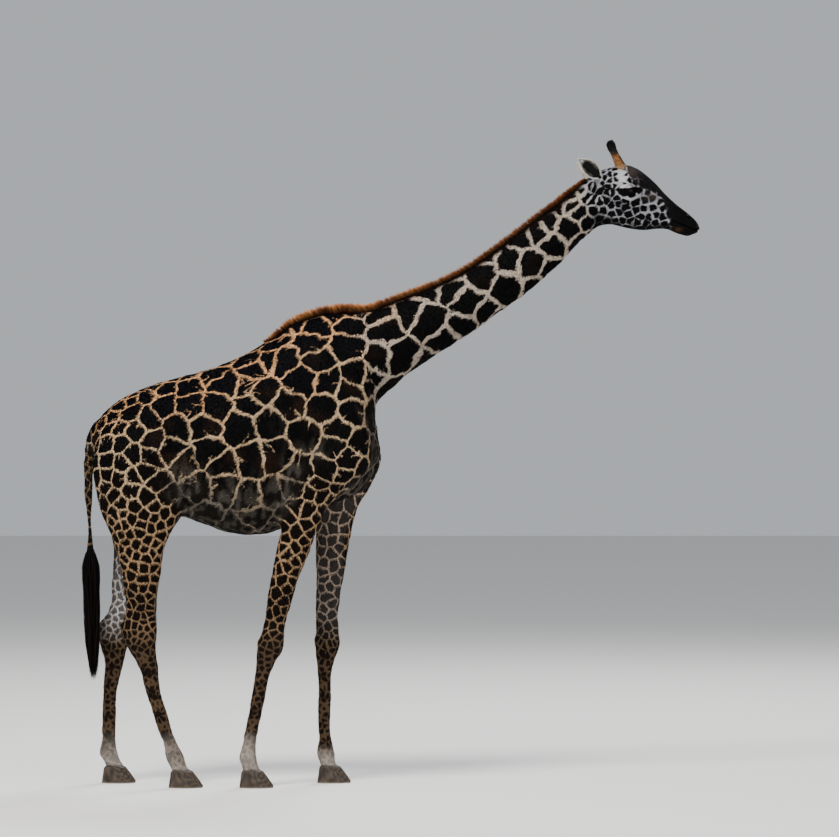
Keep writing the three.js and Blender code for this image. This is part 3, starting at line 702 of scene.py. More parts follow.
@dataclass(frozen=True)
class Mouth:
    """The line between the lips, and how deep and wide its groove and the lips beside it are."""

    line: Table = ((1.850, 3.258), (1.790, 3.262), (1.715, 3.290), (1.650, 3.318), (1.612, 3.334))
    depth: float = 0.007
    width: float = 0.0038
    lip: float = 0.0035
    lip_width: float = 0.009

    def at(self, points: Array) -> Array:
        """Relief at each point: the groove -depth·exp(-(d/w)²), and a lip each side of it."""
        line = np.array([(x + SHIFT, 0.0, z) for x, z in self.line])
        d = distance_to_line(points * np.array([1.0, 0.0, 1.0]), line)
        groove = -self.depth * np.exp(-(d / self.width) ** 2)
        swell = self.lip * np.exp(-((d - 0.011) / self.lip_width) ** 2)
        return (groove + swell) * smoothstep(1.60, 1.63, points[:, 0])


@dataclass(frozen=True)
class Nostril:
    """A slanted slit on each side of the muzzle: a pit of the given depth with a raised rim."""

    centre: Triple = (1.757, 0.054, 3.334)
    slope: float = -0.62  # rise for each metre forward
    length: float = 0.018
    width: float = 0.0048
    depth: float = 0.017

    def at(self, points: Array) -> Array:
        """Relief at each point: -depth inside the slit's ellipse, and a rim 3 mm high round it."""
        d = points - np.array(self.centre) - np.array([SHIFT, 0, 0])
        along_x, along_z = unit(np.array([1.0, self.slope]))
        along = d[:, 0] * along_x + d[:, 2] * along_z
        across = -d[:, 0] * along_z + d[:, 2] * along_x + 9.0 * along ** 2
        ring = np.hypot(along / self.length, across / self.width)
        pit = -self.depth * (1 - smoothstep(0.55, 1.15, ring))
        return (pit + 0.003 * np.exp(-((ring - 1.7) / 0.7) ** 2)) * (np.abs(d[:, 1]) < 0.035)


@dataclass(frozen=True)
class Lids:
    """The lids round an eye: a dome just over the ball with an almond opening in it."""

    thickness: float = 0.0034
    half_length: float = 0.0218
    above: float = 0.0125
    below: float = 0.0100
    tilt: float = math.radians(-7)
    out: Triple = (0.16, 0.985, 0.02)

    def axes(self, side: int) -> Array:
        """Rows: towards the nose, upwards, and out of the head, on one side."""
        out = unit(np.array(self.out) * [1, side, 1])
        front = np.array([math.cos(self.tilt), 0.0, math.sin(self.tilt)])
        front = unit(front - out * (front @ out))
        return np.array([front, np.cross(out, front) * (-side), out])

    def rim(self, front: Array, upper: Array) -> Array:
        """Height of the almond's edge over its long axis. Its upper edge is the fuller."""
        k = np.clip(1 - (front / self.half_length) ** 2, 0.0, 1.0) ** 0.75
        return np.where(upper, self.above, self.below) * k

    def shaped(self, points: Array, side: int) -> Array:
        """The skin's points, with those near the eye on one side moved onto its lids: a ball of
        the lids' radius with two folds and a thick margin, and behind it in the opening."""
        axes = self.axes(side)
        local = (points - EYE_CENTRE * [1, side, 1]) @ axes.T
        front, rise, out = local.T
        near = (np.linalg.norm(local, axis=1) < 0.06) & (out > 0.0)
        ring = np.hypot(front / 0.030, rise / 0.025)
        flat = front ** 2 + rise ** 2
        dome = np.sqrt(np.maximum((EYE_RADIUS + self.thickness) ** 2 - flat, 1e-9))
        inside = np.sqrt(np.maximum((EYE_RADIUS - 0.004) ** 2 - flat, 1e-9))
        edge = np.maximum(np.abs(rise) / (self.rim(front, rise > 0) + 1e-5), np.abs(front) / self.half_length)
        fold = -0.0022 * np.exp(-((rise - 0.0190 + 8.0 * front ** 2) / 0.0022) ** 2)
        fold += -0.0012 * np.exp(-((rise + 0.0160 - 6.0 * front ** 2) / 0.0020) ** 2)
        lid = dome + fold + 0.0010 * np.exp(-((edge - 1.12) / 0.10) ** 2)
        target = mix(inside, lid, smoothstep(0.92, 1.06, edge))
        share = (1 - smoothstep(0.72, 1.30, ring)) * near
        return points + axes[2] * ((target - out) * share)[:, None]


# ------------------------------------------------------------------ the skin


@dataclass
class Skin:
    """The animal's one skin: lofted forms made one by a voxel remesh, refined on the head, laid
    back onto the forms, smoothed where legs and body meet, and sculpted."""

    anatomy: Anatomy
    cell: float = 0.0168  # the voxels, before head and lower legs are refined
    blend_rounds: int = 60  # smoothing passes where the forms meet
    tail_spare: float = 0.014  # how much thicker the dock's end is made for the voxels
    mouth: Mouth = field(default_factory=Mouth)
    nostril: Nostril = field(default_factory=Nostril)
    lids: Lids = field(default_factory=Lids)

    def forms(self) -> Shape:
        """The lofted forms as closed tubes, inside the coat by its depth."""
        slim = np.linspace(-0.003, self.tail_spare, 60)[:, None]
        return joined([self._form(self.anatomy.body, 330, 96, -COAT_DEPTH),
                       *(self._form(limb.loft, 150, 48, -COAT_DEPTH) for limb in self.anatomy.limbs),
                       self._form(self.anatomy.tail.loft, 60, 24, slim)])

    def _form(self, loft: Loft, rows: int, columns: int, grow: float | Array) -> Shape:
        """One loft as a closed tube."""
        turns = np.linspace(-math.pi, math.pi, columns, endpoint=False)
        return tube(loft.surface(*np.meshgrid(np.linspace(0, loft.last, rows), turns, indexing="ij"), grow))

    def build(self) -> Mesh:
        """Grows the skin and returns its mesh."""
        rough = bpy.data.objects.new("rough", new_mesh("rough", self.forms()))
        bpy.context.scene.collection.objects.link(rough)
        remesh = rough.modifiers.new("one skin", "REMESH")
        remesh.mode, remesh.voxel_size = "VOXEL", self.cell
        mesh = bpy.data.meshes.new_from_object(rough.evaluated_get(bpy.context.evaluated_depsgraph_get()))
        mesh.name = "skin"
        bpy.data.objects.remove(rough)
        self._refine(mesh)
        write_points(mesh, self._settle(mesh, read_points(mesh)))
        self._sculpt(mesh)
        return mesh

    def _refine(self, mesh: Mesh) -> None:
        """Splits the faces of head, tail and lower legs once, of the face twice, and round eyes,
        nostrils and mouth three times."""
        bm = bmesh.new()
        bm.from_mesh(mesh)
        for chosen in (self._on_fine_part, self._on_face, self._on_features):
            faces = [f for f in bm.faces if chosen(*f.calc_center_median())]
            edges = list({edge for f in faces for edge in f.edges})
            bmesh.ops.subdivide_edges(bm, edges=edges, cuts=1, use_grid_fill=True)
        bm.to_mesh(mesh)
        bm.free()
        mesh.polygons.foreach_set("use_smooth", np.ones(len(mesh.polygons), bool))

    def _on_fine_part(self, x: float, y: float, z: float) -> bool:
        """Whether a place is on the head, the tail or a lower leg."""
        return x > 1.13 + SHIFT or z < 0.95 or (x < -1.735 + SHIFT and 1.38 < z < 2.12 and abs(y) < 0.05)

    def _on_face(self, x: float, y: float, z: float) -> bool:
        """Whether a place is on the face from the horns forward."""
        return x > 1.33 + SHIFT and abs(y) > 0.02 and z > 3.25

    def _on_features(self, x: float, y: float, z: float) -> bool:
        """Whether a place is beside an eye, a nostril or the mouth line."""
        x, y = x - SHIFT, abs(y)
        eye = math.dist((x, z), (EYE_DRAWN_X, EYE_CENTRE[2])) < 0.032 and y > 0.07
        nostril = abs(x - 1.757) < 0.026 and abs(z - 3.336) < 0.026 and y > 0.03
        mouth_z = 3.262 + (1.790 - min(x, 1.790)) * 0.40
        return eye or nostril or (x > 1.62 and abs(z - mouth_z) < 0.010)

    def _settle(self, mesh: Mesh, points: Array) -> Array:
        """Lays the points back onto the forms they came from, and lets the rest relax."""
        f, z = self.anatomy.fields(points), points[:, 2]
        on_body = self.anatomy.body.surface(f.s, f.angle, -COAT_DEPTH)
        share = smoothstep(0.02, 0.07, np.minimum(f.limb_gap, f.tail + 0.02) - f.body)
        settled = mix(points, on_body, share * ((f.s > 0.05) & (f.s < LIP_TIP - 0.04)))
        for number, limb in enumerate(self.anatomy.limbs):
            share = smoothstep(0.02, 0.07, f.body - f.limb_gap) * (f.limb == number)
            share *= (z > 0.11) & (f.tail > 0.03)
            settled = mix(settled, limb.onto(points, -COAT_DEPTH), share)
        apart = np.minimum(f.body, f.limb_gap) - f.tail
        on_tail = smoothstep(0.004, 0.03, apart) * (z > 1.41)
        settled = mix(settled, self.anatomy.tail.onto(points, -0.003), on_tail)
        meeting = np.exp(-((f.body - f.limb_gap) / 0.06) ** 2) * (z > 1.2)
        tail_meeting = np.exp(-(apart / 0.02) ** 2) * (z > 1.9)
        tips = 0.8 * smoothstep(LIP_TIP - 1.6, LIP_TIP - 0.2, f.s) + 0.6 * smoothstep(0.5, 0.1, f.s)
        weight = np.clip(meeting + tail_meeting + tips + 0.05, 0, 1)
        return relax(mesh, relax(mesh, settled, weight, self.blend_rounds), np.ones(len(points)), 2)

    def _sculpt(self, mesh: Mesh) -> None:
        """Raises the relief along the normals, opens mouth and nostrils, and shapes the lids."""
        points, normals = read_points(mesh), read_points(mesh, "normal")
        f = self.anatomy.fields(points)
        drawn = np.column_stack(f.drawn)
        drawn[:, 0] -= f.on_limb * leg_swing(f)
        height = sum(relief.at(drawn) for relief in RELIEF)
        calm = 1 - smoothstep(NAPE, POLL + 1, f.s) * (1 - f.on_limb)
        height += calm * (0.0018 * Ripple(0.16, 11).at(points) + 0.0007 * Ripple(0.055, 12).at(points))
        points = points + normals * height[:, None]
        write_points(mesh, points)
        mirrored = np.column_stack([points[:, 0], np.abs(points[:, 1]), points[:, 2]])
        cut = self.mouth.at(points) + self.nostril.at(mirrored)
        points = points + read_points(mesh, "normal") * cut[:, None]
        for side in (RIGHT, LEFT):
            points = self.lids.shaped(points, side)
        write_points(mesh, points)


def leg_swing(f: Fields) -> Array:
    """How far along X each point's nearest leg is swung at the point's height."""
    return np.choose(f.limb, [read(limb.value[1], f.points[:, 2]) for limb in Limb])


def relax(mesh: Mesh, points: Array, weight: Array, rounds: int) -> Array:
    """Moves each point towards the mean of its neighbours, by half its weight, `rounds` times."""
    a, b = read_indices(mesh.edges, "vertices", 2).reshape(-1, 2).T
    count = len(points)
    degree = np.maximum(np.bincount(a, minlength=count) + np.bincount(b, minlength=count), 1)
    moved = points.copy()
    for _ in range(rounds):
        mean = np.empty_like(moved)
        for axis in range(3):
            column = moved[:, axis]
            mean[:, axis] = (np.bincount(a, column[b], count) + np.bincount(b, column[a], count)) / degree
        moved += (mean - moved) * (0.5 * weight)[:, None]
    return moved


# ------------------------------------------------------------------ the markings


@dataclass(frozen=True)
class Tones:
    """Colours of the coat, in linear light."""

    line_back: Array = tone(212, 160, 112)
    line_flank: Array = tone(180, 154, 122)
    # lines of the underside: partly the belly's own duller grey and partly painted shade
    line_low: Array = tone(106, 99, 90)
    line_neck: Array = tone(172, 157, 142)
    line_leg: Array = tone(164, 132, 98)
    shank: Array = tone(77, 60, 44)
    fetlock: Array = tone(158, 148, 138)
    inner_leg: Array = tone(176, 172, 172)
    head: Array = tone(152, 151, 156)
    # near-black with a navy tint: painted reflection of the sky on the patches of the back
    patch_back: Array = tone(4, 4, 9)
    patch: Array = tone(5, 4, 4)
    patch_brown: Array = tone(32, 19, 11)
    patch_belly: Array = tone(26, 22, 19)
    patch_leg: Array = tone(14, 8, 5)
    patch_inner: Array = tone(96, 90, 86)
    patch_shank: Array = tone(20, 13, 9)
    charcoal: Array = tone(14, 12, 13)
    cheek: Array = tone(66, 57, 53)
    brow: Array = tone(62, 53, 50)
    muzzle: Array = tone(4, 4, 5)
    lip: Array = tone(74, 50, 32)
    # pale grey-white: a painted highlight along the upper lid, also used to lighten the lines at temple and
    # nape
    lid: Array = tone(198, 196, 196)
    # painted shade on the hide under the mane
    under_mane: Array = tone(14, 8, 5)


# Middles of the larger patches on trunk and neck, X and Z, from the rump forward.
PATCHES = (
    (-1.325, 2.228), (-1.170, 2.225), (-0.995, 2.228), (-0.945, 2.345), (-0.825, 2.345),
    (-0.800, 2.425), (-0.740, 2.298), (-0.803, 2.238), (-1.075, 2.112), (-0.863, 2.100),
    (-0.690, 2.135), (-1.050, 1.965), (-0.958, 1.875), (-0.791, 1.902), (-0.655, 1.945),
    (-1.200, 1.890), (-1.110, 1.760), (-0.970, 1.780), (-0.803, 1.710), (-0.685, 1.705),
    (-0.672, 2.585), (-0.692, 2.512), (-0.635, 2.500), (-0.468, 2.585), (-0.405, 2.500),
    (-0.515, 2.370), (-0.575, 2.228), (-0.392, 2.205), (-0.312, 2.095), (-0.480, 2.080),
    (-0.345, 2.368), (-0.238, 2.322), (-0.250, 2.572), (-0.200, 2.405), (-0.022, 2.682),
    (-0.060, 2.500), (-0.218, 2.190), (-0.322, 1.985), (-0.162, 2.000), (-0.095, 1.960),
    (-0.372, 1.845), (-0.252, 1.806), (-0.502, 1.832), (-0.552, 1.725), (-0.455, 1.722),
    (-0.392, 1.700), (-0.322, 1.672), (-0.152, 1.772), (-0.105, 2.400), (0.085, 2.510),
    (0.120, 2.789), (-0.077, 2.753), (0.235, 2.735), (0.355, 2.924), (0.229, 2.905),
    (0.328, 2.600), (0.472, 2.834), (0.526, 2.996), (0.562, 2.762), (0.706, 2.906),
    (0.706, 3.086), (0.841, 3.059), (0.859, 3.257), (0.769, 3.212), (0.967, 3.158),
    (0.940, 3.320), (1.048, 3.275), (0.980, 3.388), (1.079, 3.410), (1.066, 3.455),
    (1.120, 3.361),
)
# Middles of the spots on cheek, jaw, crown and throat, X and Z.
SPOTS = (
    (1.276, 3.480), (1.309, 3.477), (1.339, 3.450), (1.273, 3.432), (1.231, 3.414), (1.300, 3.402),
    (1.378, 3.390), (1.441, 3.375), (1.342, 3.362), (1.492, 3.381), (1.522, 3.336), (1.198, 3.426),
    (1.237, 3.330), (1.207, 3.372), (1.312, 3.350), (1.366, 3.318), (1.414, 3.312), (1.453, 3.306),
    (1.504, 3.300), (1.558, 3.348), (1.564, 3.300), (1.606, 3.330), (1.282, 3.310), (1.336, 3.285),
    (1.400, 3.276), (1.470, 3.270), (1.540, 3.385), (1.255, 3.600), (1.294, 3.582), (1.321, 3.585),
    (1.321, 3.552), (1.294, 3.546), (1.264, 3.567), (1.264, 3.626), (1.290, 3.624), (1.328, 3.615),
    (1.294, 3.516), (1.316, 3.520), (1.240, 3.498), (1.201, 3.516), (1.174, 3.516), (1.135, 3.498),
    (1.162, 3.450), (1.177, 3.312), (1.495, 3.430), (1.540, 3.440),
)


@dataclass
class Paint:
    """Markings at each point: what parts the patches, and the colours in and between them."""

    warped: Array  # the point moved by the warp, to be compared with the seeds
    border: Array  # distance from the border of its cell
    half: Array  # half the width of the pale line
    spur: Array  # signed distance from the nearest spur line
    reach: Array  # how far spurs run into a patch
    bias: Array  # added to the distance from the pale line
    line: Array
    patch: Array


class Markings:
    """Dark patches parted by pale lines: the cells nearest to seeds on the hide, whose spacing
    follows the place on the body, seen through a wavy warp that makes their edges ragged."""

    # Lower edge of the jaw in profile, X and Z, and rear edge of the dark mask, Z and X.
    JAW = ((1.20, 3.345), (1.27, 3.306), (1.384, 3.266), (1.48, 3.2585), (1.60, 3.270), (1.66, 3.262))
    MASK_EDGE = ((3.220, 1.665), (3.276, 1.654), (3.336, 1.642), (3.384, 1.618), (3.437, 1.598),
                 (3.478, 1.568), (3.487, 1.520), (3.503, 1.475), (3.525, 1.440), (3.555, 1.412),
                 (3.600, 1.392), (3.660, 1.378))

    def __init__(self, anatomy: Anatomy, points: Array, normals: Array) -> None:
        """Sows the seeds on the hide's points and strikes their rays. Where two named patches fall
        on one point, the later one goes."""
        self.anatomy, self.tones = anatomy, Tones()
        self.warps = [Ripple(0.15, 21 + axis) for axis in range(3)]
        self.small_warps = [Ripple(0.06, 31 + axis) for axis in range(3)]
        self.streak, self.wear, self.tone_ripple = Ripple(0.055, 47), Ripple(0.30, 42), Ripple(0.45, 45)
        self.jag, self.fine_jag = Ripple(0.032, 43, 12), Ripple(0.012, 44, 12)
        seeds = self._sow(points, normals)
        rays = self._strike(seeds, points, normals)
        once = np.sort(np.unique(seeds, axis=0, return_index=True)[1])
        self.seeds, self.rays, self.sides, self.reaches = (rows[once] for rows in (seeds, *rays))

    def spacing(self, f: Fields) -> Array:
        """Rough distance between the middles of neighbouring patches."""
        z, s = f.points[:, 2], f.s
        body = np.interp(s, [0, 2, 4, 5, 7, 10, 12, 15, 18, 19.5, 20.6, 22, 24, 27, 32],
                         [0.080, 0.085, 0.13, 0.17, 0.16, 0.14, 0.16, 0.165, 0.14, 0.10, 0.060,
                          0.045, 0.044, 0.042, 0.03])
        body = body * (1 - 0.28 * smoothstep(0.75, 1.0, np.cos(f.angle)) * (s < NECK_ROOT))
        fore = np.interp(z, [0.1, 0.7, 0.9, 1.2, 1.5, 1.8, 2.1],
                         [0.029, 0.031, 0.040, 0.050, 0.060, 0.080, 0.13])
        hind = np.interp(z, [0.1, 0.7, 0.9, 1.2, 1.5, 1.75, 1.9, 2.2],
                         [0.028, 0.030, 0.034, 0.043, 0.052, 0.068, 0.080, 0.098])
        return mix(mix(body, np.where(f.limb < 2, fore, hind), f.on_limb), 0.045, f.on_tail)

    def line_half_width(self, f: Fields) -> Array:
        """Half the width of the pale lines."""
        body = np.interp(f.s, [0, 3, 5, 9, 11, 13, 18, 20, 21.5, 23, 25, 32],
                         [0.0052, 0.0058, 0.0080, 0.0085, 0.0098, 0.0128, 0.0135, 0.0100, 0.0055, 0.0037,
                          0.0033, 0.003])
        limb = np.interp(f.points[:, 2], [0.1, 0.9, 1.5, 1.9, 2.2], [0.0040, 0.0042, 0.0048, 0.0056, 0.0075])
        width = mix(mix(body, limb, f.on_limb), 0.0036, f.on_tail)
        return width * (1 + (0.18 + 0.22 * smoothstep(19.5, 21.0, f.s)) * self.wear.at(f.points))

    def warped(self, f: Fields) -> Array:
        """The points shifted by two sizes of ripple, further where the patches are large."""
        large, small = (np.column_stack([ripple.at(f.points) for ripple in ripples])
                        for ripples in (self.warps, self.small_warps))
        return f.points + self.spacing(f)[:, None] * (0.035 * large + 0.028 * small)

    def _sow(self, points: Array, normals: Array) -> Array:
        """Places the seeds: the named patches on both sides, the left ones moved a little, and then
        again and again the point of the hide that is furthest from them for its spacing."""
        rng = np.random.default_rng(5)
        cloud = points[rng.permutation(len(points))[:26000]]
        reach = self.spacing(self.anatomy.fields(cloud))
        seeds = []
        for side, wander in ((RIGHT, 0.0), (LEFT, 0.035)):
            own = points[(points[:, 1] * side > 0) & (normals[:, 1] * side > 0.25)]
            for x, z in PATCHES + SPOTS:
                aim = np.array([x + SHIFT, z]) + rng.normal(size=2) * wander
                seeds.append(own[np.argmin(np.sum((own[:, [0, 2]] - aim) ** 2, axis=1))])
        distance = np.full(len(cloud), np.inf)
        for seed in seeds:
            distance = np.minimum(distance, np.linalg.norm(cloud - seed, axis=1) / reach)
        while distance.max() > 0.86:
            seeds.append(cloud[np.argmax(distance)])
            distance = np.minimum(distance, np.linalg.norm(cloud - seeds[-1], axis=1) / reach)
        LOG.info("markings: %d patches", len(seeds))
        return np.array(seeds)

    def _strike(self, seeds: Array, points: Array, normals: Array) -> tuple[Array, Array, Array]:
        """Gives each seed three rays in the hide, the directions square to them, and how far in
        from the border a spur runs along each, as a share of the spacing: nothing for some."""
        rng, count = np.random.default_rng(77), len(seeds)
        normal = np.array([normals[np.argmin(np.sum((points - seed) ** 2, axis=1))] for seed in seeds])
        one = unit(np.cross(normal, [0.31, 0.20, 0.93]))[:, None]
        two = np.cross(normal[:, None], one)
        turn = rng.uniform(0, 2 * math.pi, (count, 1)) + 2 * math.pi / 3 * np.arange(3)
        turn = (turn + rng.normal(0, 0.35, (count, 3)))[..., None]
        reaches = np.clip(rng.uniform(-0.30, 0.48, (count, 3)), 0, None)
        return np.cos(turn) * one + np.sin(turn) * two, np.cos(turn) * two - np.sin(turn) * one, reaches

    def nearest(self, places: Array, count: int = 3) -> Array:
        """Numbers of the nearest seeds to each place, the nearest first."""
        found = np.empty((len(places), count), int)
        seeds = self.seeds.astype(np.float32)
        size = np.sum(seeds ** 2, axis=1)
        for rows in batches(len(places)):
            d = size - 2 * places[rows].astype(np.float32) @ seeds.T
            part = np.argpartition(d, count, axis=1)[:, :count]
            order = np.argsort(np.take_along_axis(d, part, axis=1), axis=1)
            found[rows] = np.take_along_axis(part, order, axis=1)
        return found

    def border(self, places: Array, near: Array) -> Array:
        """Distance of each place from the border of its cell: to the plane halfway between the
        nearest seed and each of the next two, (d2² - d1²) / 2|s2 - s1|."""
        seeds = self.seeds[near]
        squares = np.sum((places[:, None] - seeds) ** 2, axis=2)
        apart = np.linalg.norm(seeds[:, 1:] - seeds[:, :1], axis=2)
        return ((squares[:, 1:] - squares[:, :1]) / (2 * apart)).min(axis=1)

    def colour(self, f: Fields) -> Array:
        """Colour of the coat at each point: the patch's inside the pale line and its spurs. A spur
        is a line that leaves the border and narrows to nothing at its reach."""
        paint = self.paint(f)
        taper = np.clip(1 - paint.border / paint.reach, 0, 1)
        spur = np.abs(paint.spur) - 0.85 * paint.half * taper + 0.02 * (taper <= 0)
        jag = 0.0022 * self.jag.at(f.points) + 0.0012 * self.fine_jag.at(f.points)
        edge = np.minimum(paint.border - paint.half, spur) + paint.bias + jag
        return blend(paint.line, paint.patch, smoothstep(-0.0015, 0.0015, edge))

    def paint(self, f: Fields) -> Paint:
        """Markings and colours at each point of the hide."""
        t, z, s, up = self.tones, f.points[:, 2], f.s, np.cos(f.angle)
        ripple = self.tone_ripple.at(f.points)
        neck, head = smoothstep(9.0, 14.5, s + ripple), smoothstep(19.8, 21.4, s)
        back, low = smoothstep(0.10, 0.90, up + 0.18 * ripple), smoothstep(-0.20, -0.85, up + 0.10 * ripple)
        # Towards the underside the pale lines darken, partly the belly's own tone and partly painted shade.
        line = blend(blend(t.line_flank, t.line_back, back), t.line_low, low)
        line = blend(blend(line, t.line_neck, neck), t.head, head)
        brown = 0.70 * smoothstep(0.2, 1.4, self.tone_ripple.at(f.points * 1.7 + 3.0)) * (1 - 0.7 * neck)
        patch = blend(t.patch, t.patch_brown, brown * (1 - back) * (1 - head))
        # Patches that face up take the navy tint, a painted reflection of the sky; low down they turn greyer.
        patch = blend(blend(patch, t.patch_back, back * (1 - neck)), t.patch_belly, low * (1 - neck))
        streak = self.streak.at(f.points * [1.0, 1.0, 0.30])
        smoke = smoothstep(-0.05, -0.80, up + 0.12 * ripple) * smoothstep(-0.1, 0.9, streak)
        smoke = smoke * smoothstep(3.2, 4.2, s) * smoothstep(11.5, 9.5, s)
        patch = blend(patch, t.line_low * 0.55, 0.75 * smoke)
        leg_line, leg_patch = self._leg(f, ripple)
        line, patch = blend(line, leg_line, f.on_limb), blend(patch, leg_patch, f.on_limb)
        line, patch, bias = self._face(f, *self._crest(f, line, patch), head)
        small = self.small_warps[0].at(f.points)
        bias = bias - 0.0032 * smoothstep(0.95, 0.65, z) * f.on_limb * (0.5 + small)
        warped = self.warped(f)
        near = self.nearest(warped)
        spur, reach = self._spurs(f, warped, near[:, 0], small)
        reach = np.maximum(reach * smoothstep(1.35, 1.75, z) * smoothstep(13.5, 11.5, s), 1e-4)
        border, half = self.border(warped, near), self.line_half_width(f)
        return Paint(warped, border, half, spur, reach, bias, line, patch)

    def _spurs(self, f: Fields, warped: Array, cell: Array, small: Array) -> tuple[Array, Array]:
        """Signed distance from the cell's ray that each point lies nearest to, and how far in from
        the border the spur along that ray runs there."""
        away = warped - self.seeds[cell]
        along = np.einsum("nkj,nj->nk", self.rays[cell], away) / np.linalg.norm(away, axis=1)[:, None]
        rows, ray = np.arange(len(cell)), np.argmax(along, axis=1)
        spacing = self.spacing(f)
        spur = np.einsum("nj,nj->n", self.sides[cell, ray], away) + 0.05 * spacing * small
        return spur, spacing * self.reaches[cell, ray] * smoothstep(0.55, 0.80, along[rows, ray])

    def _leg(self, f: Fields, ripple: Array) -> tuple[Array, Array]:
        """Colours between and in the patches of the legs: pale inside, dull below knee and hock,
        and pale again at the fetlocks."""
        t, z, hind = self.tones, f.points[:, 2], 1.0 * (f.limb >= 2)
        inner = smoothstep(0.05, 0.60, f.side * np.sin(f.limb_angle) + 0.18 * ripple)
        inner = inner * smoothstep(2.0, 1.7, z) * smoothstep(0.80, 1.0, z) * (0.32 + 0.68 * hind)
        shank = smoothstep(1.02, 0.74, z + 0.02 * ripple)
        fetlock = smoothstep(0.32, 0.13, z + 0.03 * ripple)
        line = blend(t.line_leg, t.line_flank, smoothstep(1.4, 1.9, z))
        line = blend(line, t.line_back, smoothstep(1.95, 2.25, z) * hind)
        line = blend(line, t.shank, 0.55 * smoothstep(1.45, 1.05, z))
        line = blend(blend(blend(line, t.shank, shank), t.inner_leg, inner), t.fetlock, fetlock)
        patch = blend(t.patch, t.patch_leg, smoothstep(2.1, 1.5, z))
        patch = blend(blend(patch, t.patch_shank, shank), t.patch_inner, 0.8 * inner)
        return line, blend(patch, t.fetlock * 0.7, fetlock)

    def _crest(self, f: Fields, line: Array, patch: Array) -> tuple[Array, Array]:
        """Painted shade on the hide under the mane, and the paler tail."""
        crest = smoothstep(0.055, 0.030, np.abs(f.points[:, 1])) * (np.cos(f.angle) > 0.5)
        crest = crest * smoothstep(6.3, 6.9, f.s) * smoothstep(21.6, 21.0, f.s)
        line, patch = (blend(tone, self.tones.under_mane, crest) for tone in (line, patch))
        return blend(line, self.tones.line_leg * 0.62, f.on_tail), patch

    def _face(self, f: Fields, line: Array, patch: Array, head: Array) -> tuple[Array, Array, Array]:
        """Charcoal forehead and nose, black muzzle, dark band round the eye, a painted highlight along the
        upper lid, painted highlights on the lips and nostril rims, and how much wider the pale lines are."""
        t, (x, y, z) = self.tones, f.drawn
        beside = (y > 0.06) * head
        wobble, ripple = 0.004 * self.jag.at(f.points), self.streak.at(f.points * 1.1)

        def spot(at_x: float, at_z: float, reach_x: float, reach_z: float) -> Array:
            """1 at the middle of a soft oval, falling to 0 outside it."""
            return np.exp(-(((x - at_x) / reach_x) ** 2 + ((z - at_z) / reach_z) ** 2)) * head

        mask = smoothstep(-0.010, 0.012, x - read(self.MASK_EDGE, z) + wobble) * head
        across = (x - 1.402) / 0.069
        above = 3.5035 + 0.10 * (x - 1.402) - z
        depth = 0.049 * np.sqrt(np.clip(1 - across ** 2, 0, 1)) * (1 - 0.25 * across)
        band = smoothstep(-0.0020, 0.0020, np.minimum(above, depth - above) + 0.4 * wobble) * beside
        # A painted highlight along the upper lid.
        lid = np.hypot((x - 1.384) / 0.033, (z - 3.5125 + 6 * (x - 1.384) ** 2) / 0.0085)
        lid = smoothstep(1.25, 0.85, lid) * beside
        under = np.exp(-((z - 3.4370 - 7.2 * (x - 1.406) ** 2) / 0.0055) ** 2)
        under = under * (np.abs(across) < 1.05) * beside
        cheek = spot(1.535, 3.452, 0.050, 0.026) * (1 - mask)
        jaw = read(self.JAW, x)
        jaw = smoothstep(jaw + 0.042, jaw + 0.010, z + 0.008 * ripple) * (x > 1.20) * head
        clear = spot(1.360, 3.572, 0.022, 0.040) + spot(1.226, 3.560, 0.014, 0.040)
        clear = np.clip(clear + under + lid, 0, 1)
        bright = np.clip(spot(1.355, 3.560, 0.055, 0.050) + spot(1.165, 3.440, 0.045, 0.090), 0, 1)
        line = blend(line, t.lid, 0.7 * bright)
        line = blend(blend(line, t.cheek, 0.9 * cheek), t.charcoal, 0.88 * jaw)
        patch = blend(patch, t.cheek * 0.5, cheek)
        brow = 0.8 * spot(1.418, 3.604, 0.040, 0.050)
        fleck = blend(mix(t.charcoal, t.head, 0.012), t.head, 0.22 * spot(1.445, 3.548, 0.022, 0.020))
        line = blend(line, blend(fleck, t.brow, brow), mask)
        patch = blend(patch, blend(t.charcoal, t.brow, brow), mask)
        dark = np.clip(smoothstep(1.60, 1.70, x) * mask + band * (1 - lid), 0, 1)
        # Painted highlights on the front of the lips and on the rim of the nostril.
        pale = 0.35 * (spot(1.815, 3.300, 0.009, 0.022) + spot(1.782, 3.352, 0.012, 0.008))
        lip = 0.6 * spot(1.695, 3.262, 0.022, 0.012)
        for tone, share in ((t.muzzle, dark), (t.lid, lid), (t.line_low, pale), (t.lip, lip)):
            line, patch = blend(line, tone, share), blend(patch, tone, share)
        return line, patch, 0.0026 * np.clip(ripple, -0.8, 1.2) * head * (1 - mask) - 0.03 * clear


# ------------------------------------------------------------------ finishes


def shader_maths(operation: str, swapped: bool = False) -> Callable:
    """A method of Signal that adds a Math node: of itself and another, or the other way round."""
    def apply(self: "Signal", *others: "Signal | float") -> "Signal":
        """Adds the node."""
        return self.graph.maths(operation, *((*others, self) if swapped else (self, *others)))
    return apply


